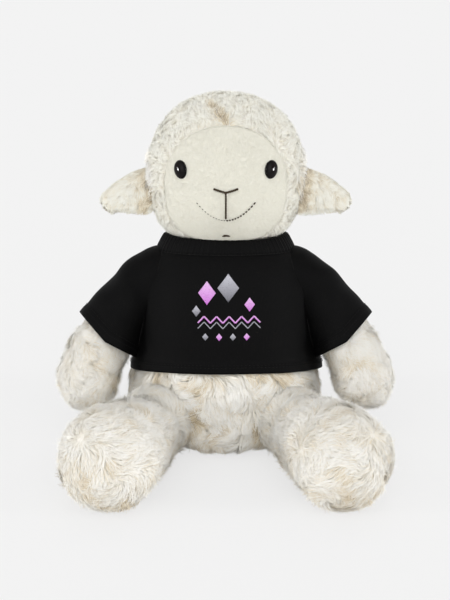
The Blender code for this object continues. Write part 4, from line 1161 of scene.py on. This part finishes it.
def ear_lines(side, proud, steps=EAR_STEPS, rows=26):
    """Rows across the ear, from the front edge over the ridge to the back edge, in the trunk frame."""
    root = head_point(0.0, EAR_ROOT_TOP_HEIGHT, 0.0)[0]
    turn = math.pi * (np.linspace(0, 1, steps) - 0.5)
    lines = []
    for share in np.linspace(0, 1, rows):
        spread = np.interp(share, EAR_LENGTH_SHARES, EAR_SPREAD_SHARES)
        if share > 0.8:
            spread = 0.90 * math.sqrt(max(1 - ((share - 0.8) / 0.215) ** 2, 0)) + 0.02
        x = root - EAR_HALF_DEPTH * (1 - share) * EAR_ROOT_TUCK_SHARE + EAR_REACH * share
        ridge = EAR_ROOT_TOP_HEIGHT - EAR_RIDGE_FALL * share**EAR_DROOP_POWER
        drop = (EAR_ROOT_DROP + (EAR_TIP_DROP - EAR_ROOT_DROP) * share) * spread
        y = (EAR_HALF_DEPTH + proud) * spread * np.sin(turn) - HEAD_FORWARD
        fall = drop * (1 - np.cos(turn)) - proud * spread * np.cos(turn)
        lines.append(np.stack((np.full(steps, side * (x + proud * share)), y, ridge - fall), -1))
    return np.array(lines)


def ear(side, word):
    body = f"ear_{word}"

    def leaf(name, depths, finish, node):
        outer, inner = (ear_lines(side, depth) for depth in depths)
        form = loft(tipped(np.concatenate((outer, inner[:, ::-1]), axis=1)), capped=True)
        made_of(f"{name}_{word}", form, finish, body, (f"{node}_{word}",))
        return form

    form = leaf("ear_leaf", EAR_LEAF, woolly_skin, "ear_outer")
    leaf("ear_inside", EAR_LINING, lining_velour, "ear_lining")
    ridge = ear_lines(side, 0.0)[:, EAR_STEPS // 2]
    reach = tipped(unit(ridge[-1] - ridge[0]))
    from_outside, from_inside = (nearest_of(tipped(ear_lines(side, depth)).reshape(-1, 3))
                                 for depth in EAR_LEAF)

    def comb(places):
        return reach * 0.8 + 0.7 * DOWN + 0.5 * swirls(places, 0.016, 72)

    def covering(places):
        outer = from_outside(places)[1] < from_inside(places)[1]
        return outer & (np.abs(places[:, 0]) > HEAD_HALF_WIDTH - 3 * MM)

    def tone(places, normals):
        # Painted shade: darker in patches near the root, where the ear meets the head
        root = 1 - ramped(np.abs(places[:, 0]), HEAD_HALF_WIDTH, HEAD_HALF_WIDTH + 0.010)
        return 0.50 * root * patches(places, 0.012, 75, -0.6) + 0.15

    grown(f"ear_pile_{word}", form, body, woolly_pile, comb, 78 + side, strands=24000,
          length=4.5 * MM, width=0.34 * MM, keep=covering, tone=tone, bed=0.6 * MM, lock=3.5 * MM, loose=0.03)


# Shirt


def torso_folds(turn, height):
    """Soft folds that run from the armpits down and across, and the hem standing off."""
    rise = (height - SHIRT_HEM_HEIGHT) / (COLLAR_BOTTOM_HEIGHT - SHIRT_HEM_HEIGHT)
    folds = 1.3 * bell(rise, 0, 0.10)
    for side in (0, math.pi):
        apart = np.abs((turn - side + math.pi) % math.tau - math.pi)
        folds = folds + 1.0 * bell(apart, 0.75 - 0.35 * rise, 0.10) * bell(rise, 0.62, 0.25)
        folds = folds - 0.6 * bell(apart, 0.52 - 0.35 * rise, 0.09) * bell(rise, 0.55, 0.25)
    folds = folds + 0.45 * np.sin(3 * turn + 4 * rise) * np.sin(math.pi * np.clip(rise, 0, 1))
    return MM * (folds + 0.40 * np.sin(7 * turn + 1.3) * bell(rise, 0, 0.30))


def torso_surface(turn, share, extra=0.0):
    """World points of the shirt's body. Share runs from the hem to the collar."""
    hem, _ = hem_at(turn)
    height = hem + (COLLAR_BOTTOM_HEIGHT + 0.6 * MM - hem) * share
    return leaned(trunk_surface(turn, height, SHIRT_PROUD + extra + torso_folds(turn, height)))


def chest(x, height, extra):
    """World points on the shirt's front straight ahead of these trunk-frame places."""
    def at(turn):
        return trunk_surface(turn, height, SHIRT_PROUD + extra + torso_folds(turn, height))

    low, high = np.full(x.shape, -math.pi + 0.02), np.full(x.shape, -0.02)
    for _ in range(26):
        middle = (low + high) / 2
        right = at(middle)[..., 0] > x
        low, high = np.where(right, low, middle), np.where(right, middle, high)
    return leaned(at(low))


def cloth_map(rows, columns, width, tall):
    """Places on the flat cloth, in metres, for the points of its outer and inner side."""
    one = np.stack(np.meshgrid(np.linspace(0, width, columns), np.linspace(0, tall, rows)), -1)
    return np.concatenate((one, one[::-1])).reshape(-1, 2)


def shirt_panel(name, first, node):
    rows, columns = 56, 96
    turn, share = np.meshgrid(np.linspace(first, first + math.pi, columns), np.linspace(0, 1, rows))
    grid = torso_surface(turn, share)
    out = unit(np.cross(np.gradient(grid, axis=1), np.gradient(grid, axis=0)))
    centre = grid.mean(axis=(0, 1)) * np.array((1.0, 0.6, 1.0))
    if (out * (grid - centre)).sum() < 0:
        out = -out
    hem = 1 + 0.8 * bell(share, 0, 0.075, 8)
    points, faces = loft(np.concatenate((grid + out * CLOTH * hem[..., None], grid[::-1])), closed=False)
    # The two side edges and the hem
    under = 2 * rows - 1
    for r in range(rows - 1):
        faces.append(tuple(row * columns + columns - 1 for row in (r, under - r, under - r - 1, r + 1)))
    for r in range(rows - 1):
        faces.append(tuple(row * columns for row in (r, r + 1, under - r - 1, under - r)))
    for c in range(columns - 1):
        faces.append((c, c + 1, under * columns + c + 1, under * columns + c))
    panel = made_of(name, (points, faces), jersey, "trunk", (node,),
                    cloth_map(rows, columns, 0.165, 0.080))


def collar():
    turns = turns_round(288)
    # Millimetres out from the neckline and up from it, round the band
    profile = ((0.2, -0.6), (1.0, -0.2), (1.35, 1.2), (1.45, 3.0), (1.45, 5.2), (1.40, 7.4), (1.25, 8.6),
               (0.7, 9.1), (-0.3, 9.0), (-0.8, 8.2), (-1.0, 6.5), (-0.8, 3.0), (-0.6, 0.0))
    rings, places = [], []
    for out, up in profile:
        rise = up * MM / (COLLAR_TOP_HEIGHT - COLLAR_BOTTOM_HEIGHT)
        ribs = 0.14 * MM * np.sin(turns * 72) * (out > 0)
        droop = 0.3 * MM * np.sin(2 * turns + 0.6) + 1.3 * MM * np.cos(turns) ** 8
        proud = 1.6 * MM + out * MM + ribs - COLLAR_DRAW_IN * max(rise, 0)
        ring = trunk_surface(turns, COLLAR_BOTTOM_HEIGHT, proud)
        ring[:, 1] -= COLLAR_FORWARD * max(rise, 0)
        ring[:, 2] = COLLAR_BOTTOM_HEIGHT + up * MM + droop * rise
        rings.append(leaned(ring))
        places.append(np.stack((turns * 0.046, np.full(len(turns), up * MM)), -1))
    band = made_of("shirt_rib", loft(rings, joined=True), rib_jersey, "trunk",
                   ("shirt_collar",), np.concatenate(places))


def sleeve_grid(side, extra=0.0, rows=60, columns=72):
    """World points of a sleeve, in rows from its root inside the trunk to its hem."""
    tucked, bends = 0.34, 60
    shares = np.linspace(-tucked, SLEEVE_END_SHARE, rows)
    path, turns = arm_path(side), turns_round(columns)
    headings = unit(np.gradient(path(np.linspace(0, 1, bends)), axis=0))
    rings = []
    for share, centre in zip(shares, path(np.clip(shares, 0, 1))):
        heading = headings[min(int(max(share, 0) * (bends - 1)), bends - 1)]
        radius = ARM_RADIUS + SLEEVE_FLARE * max(share, 0) + 1.5 * MM + extra
        if share < 0:
            away = -share / tucked * 0.9
            centre = centre - headings[0] * radius * math.sin(away * math.pi / 2) * 0.9
            radius = radius * math.cos(away * math.pi / 2 * 0.7)
        way = hoop(0, heading, tipped(BACK), 1, columns)
        outer = np.maximum(-side * (way @ np.cross(tipped(BACK), heading)), 0)
        down = share / SLEEVE_END_SHARE
        drawn_up = SLEEVE_HEM_TILT * outer * ramped(down, 0.3, 1.0)
        folds = 0.8 * np.sin(2 * turns + 11 * share + 0.6) * math.sin(math.pi * min(max(down, 0), 1))
        folds += 0.7 * np.sin(3 * turns - 16 * share) * bell(share, 0.25, 0.22)
        folds += 0.9 * bell(share, SLEEVE_END_SHARE, 0.06)
        rings.append(centre + (radius + MM * folds)[:, None] * way - drawn_up[:, None] * heading)
    return np.array(rings), shares


def sleeve(side, word):
    grid, shares = sleeve_grid(side)
    rows, columns = grid.shape[:2]
    out = unit(grid - grid.mean(axis=1, keepdims=True))
    hem = 1 + 0.8 * bell(SLEEVE_END_SHARE - shares, 0, 0.085, 8)
    form = loft(np.concatenate((grid + out * CLOTH * hem[:, None, None], grid[::-1])), joined=True)
    piece = made_of(f"sleeve_{word}", form, jersey, None, (f"shirt_sleeve_{word}",),
                    cloth_map(rows, columns, 0.115, 0.062))
    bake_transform(piece)


def raglan_seam(side, word):
    """Where the sleeve is sewn to the body of the shirt."""
    grid, _ = sleeve_grid(side, CLOTH)
    inside = inside_trunk(untipped(grid), SHIRT_PROUD + CLOTH)
    route = []
    for places, depths in zip(grid.swapaxes(0, 1), inside.T):
        crossing = np.nonzero((depths[:-1] > 0) & (depths[1:] <= 0))[0]
        if len(crossing):
            row = crossing[-1]
            a, b = depths[row:row + 2]
            route.append(places[row] + (places[row + 1] - places[row]) * a / (a - b))
    route = np.array(route)
    for _ in range(3):
        route = (np.roll(route, 1, 0) + 2 * route + np.roll(route, -1, 0)) / 4
    seam = made_of(f"raglan_seam_{word}", seam_cord(route, 0.45 * MM), black_thread, None)
    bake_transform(seam)


def hem_dashes(routes):
    return gathered([capsule(route, 0.22 * MM, 5) for route in routes])


def sleeve_stitching(side, word):
    grid, _ = sleeve_grid(side, 1.75 * CLOTH)
    shares = np.linspace(0.1, 0.75, 4)[:, None]
    routes = [a + (b - a) * shares for ring in (grid[-4], grid[-6])
              for a, b in zip(ring, np.roll(ring, -1, 0))]
    made_of(f"sleeve_hem_stitching_{word}", hem_dashes(routes), black_thread, f"arm_{word}")


def shirt():
    shirt_panel("shirt_front_cloth", math.pi, "shirt_front")
    shirt_panel("shirt_back_cloth", 0.0, "shirt_back")
    collar()
    for side, word in SIDES:
        # The armhole's two ends, which nothing uses
        start, end = tipped(((side * 0.036, -0.0045, 0.106), (side * 0.056, -0.007, 0.093)))
        sleeve(side, word)
        raglan_seam(side, word)
        sleeve_stitching(side, word)
    count = 150
    dash = np.linspace(0.15, 0.75, 4)
    routes = [torso_surface(math.tau / count * (k + dash), np.full(len(dash), share), 2.2 * CLOTH)
              for share in (0.050, 0.068) for k in range(count)]
    made_of("shirt_hem_stitching", hem_dashes(routes), black_thread, "trunk")
    neckline = leaned(trunk_surface(turns_round(160), COLLAR_BOTTOM_HEIGHT - 0.1 * MM, 2.4 * MM))
    made_of("collar_seam", seam_cord(neckline, 0.42 * MM), black_thread, "trunk")


# Print: a generic design of diamonds, zigzags and dots, its places in millimetres


def decal(outline_rows, extra):
    """A thin raised patch over rows of x and height places, with its shade running up it."""
    grid = np.array(outline_rows, float) * MM
    rows, columns = grid.shape[:2]
    numbers = np.arange(rows * columns).reshape(rows, columns)
    depths = extra, extra - 0.35 * MM
    points = np.concatenate([chest(grid[..., 0], grid[..., 1], depth) for depth in depths]).reshape(-1, 3)
    faces, size = [], rows * columns
    for a in numbers[:-1, :-1].ravel():
        faces.append((a, a + 1, a + columns + 1, a + columns))
        faces.append((size + a + columns, size + a + columns + 1, size + a + 1, size + a))
    rim = [*numbers[0], *numbers[1:, -1], *numbers[-1, -2::-1], *numbers[-2:0:-1, 0]]
    for a, b in zip(rim, rim[1:] + rim[:1]):
        faces.append((b, a, size + a, size + b))
    shade = np.repeat(np.linspace(0.05, 0.95, rows), columns)
    places = np.stack((np.zeros_like(shade), shade), -1)
    return (points, faces), np.concatenate((places, places))


def bar(x0, z0, x1, z1, width, steps=14):
    """A straight bar between two places."""
    start, end = np.array((x0, z0)), np.array((x1, z1))
    run = (end - start) / np.linalg.norm(end - start)
    side = np.array((-run[1], run[0])) * width / 2
    line = start + (end - start) * np.linspace(0, 1, steps)[:, None]
    return [line - side, line, line + side]


def diamond(x, z, half_width, half_height, steps=9):
    spots = np.linspace(-1, 1, steps)
    return [[(x + half_width * max(1 - abs(up), 0.02) * k, z + half_height * up) for k in spots]
            for up in spots]


def zigzag(foot, tall, width, at=-17, step=3.8, peaks=5):
    """Bars up and down, the falling ones laid over the rising ones."""
    for k in range(peaks):
        x = at + 2 * step * k
        yield bar(x, foot, x + step, foot + tall, width), 0.2
        yield bar(x + step, foot + tall, x + 2 * step, foot, width), 0.25


def chest_print():
    lilac = [(diamond(-11.5, 98, 5.4, 7.0), 0.15), (diamond(14.5, 91, 3.2, 4.2), 0.15), *zigzag(80, 4, 0.9)]
    silver = [(diamond(1.5, 101, 6.6, 8.4), 0.10), (diamond(-18, 87, 2.6, 3.4), 0.15), *zigzag(76.6, 4, 0.6)]
    for k in range(4):
        (lilac if k % 2 else silver).append((diamond(-12.5 + 8.4 * k, 71.5, 1.9, 2.2), 0.15))
    for name, motifs, finish in (("lilac", lilac, print_lilac), ("grey", silver, print_grey)):
        forms, shades = zip(*(decal(rows, CLOTH + extra * MM) for rows, extra in motifs))
        made_of(f"print_{name}_motifs", gathered(forms), finish, "trunk", (),
                np.concatenate(shades))


stage()
trunk()
tail()
neck()
for side, word in SIDES:
    leg(side, word)
    arm(side, word)
hood()
face()
domes = [eye(side, word) for side, word in SIDES]
for (side, word), dome in zip(SIDES, domes):
    catch_light(side, word, dome)
for side, word in SIDES:
    ear(side, word)
embroidery()
shirt()
chest_print()

for nodes, finish in ((("closing_seam", "neck_seam"), cream_thread),
                      (("eye_washer_left", "eye_washer_right"), washer_plastic)):
    for node in nodes:
        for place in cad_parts[node].material_slots:
            place.material = finish
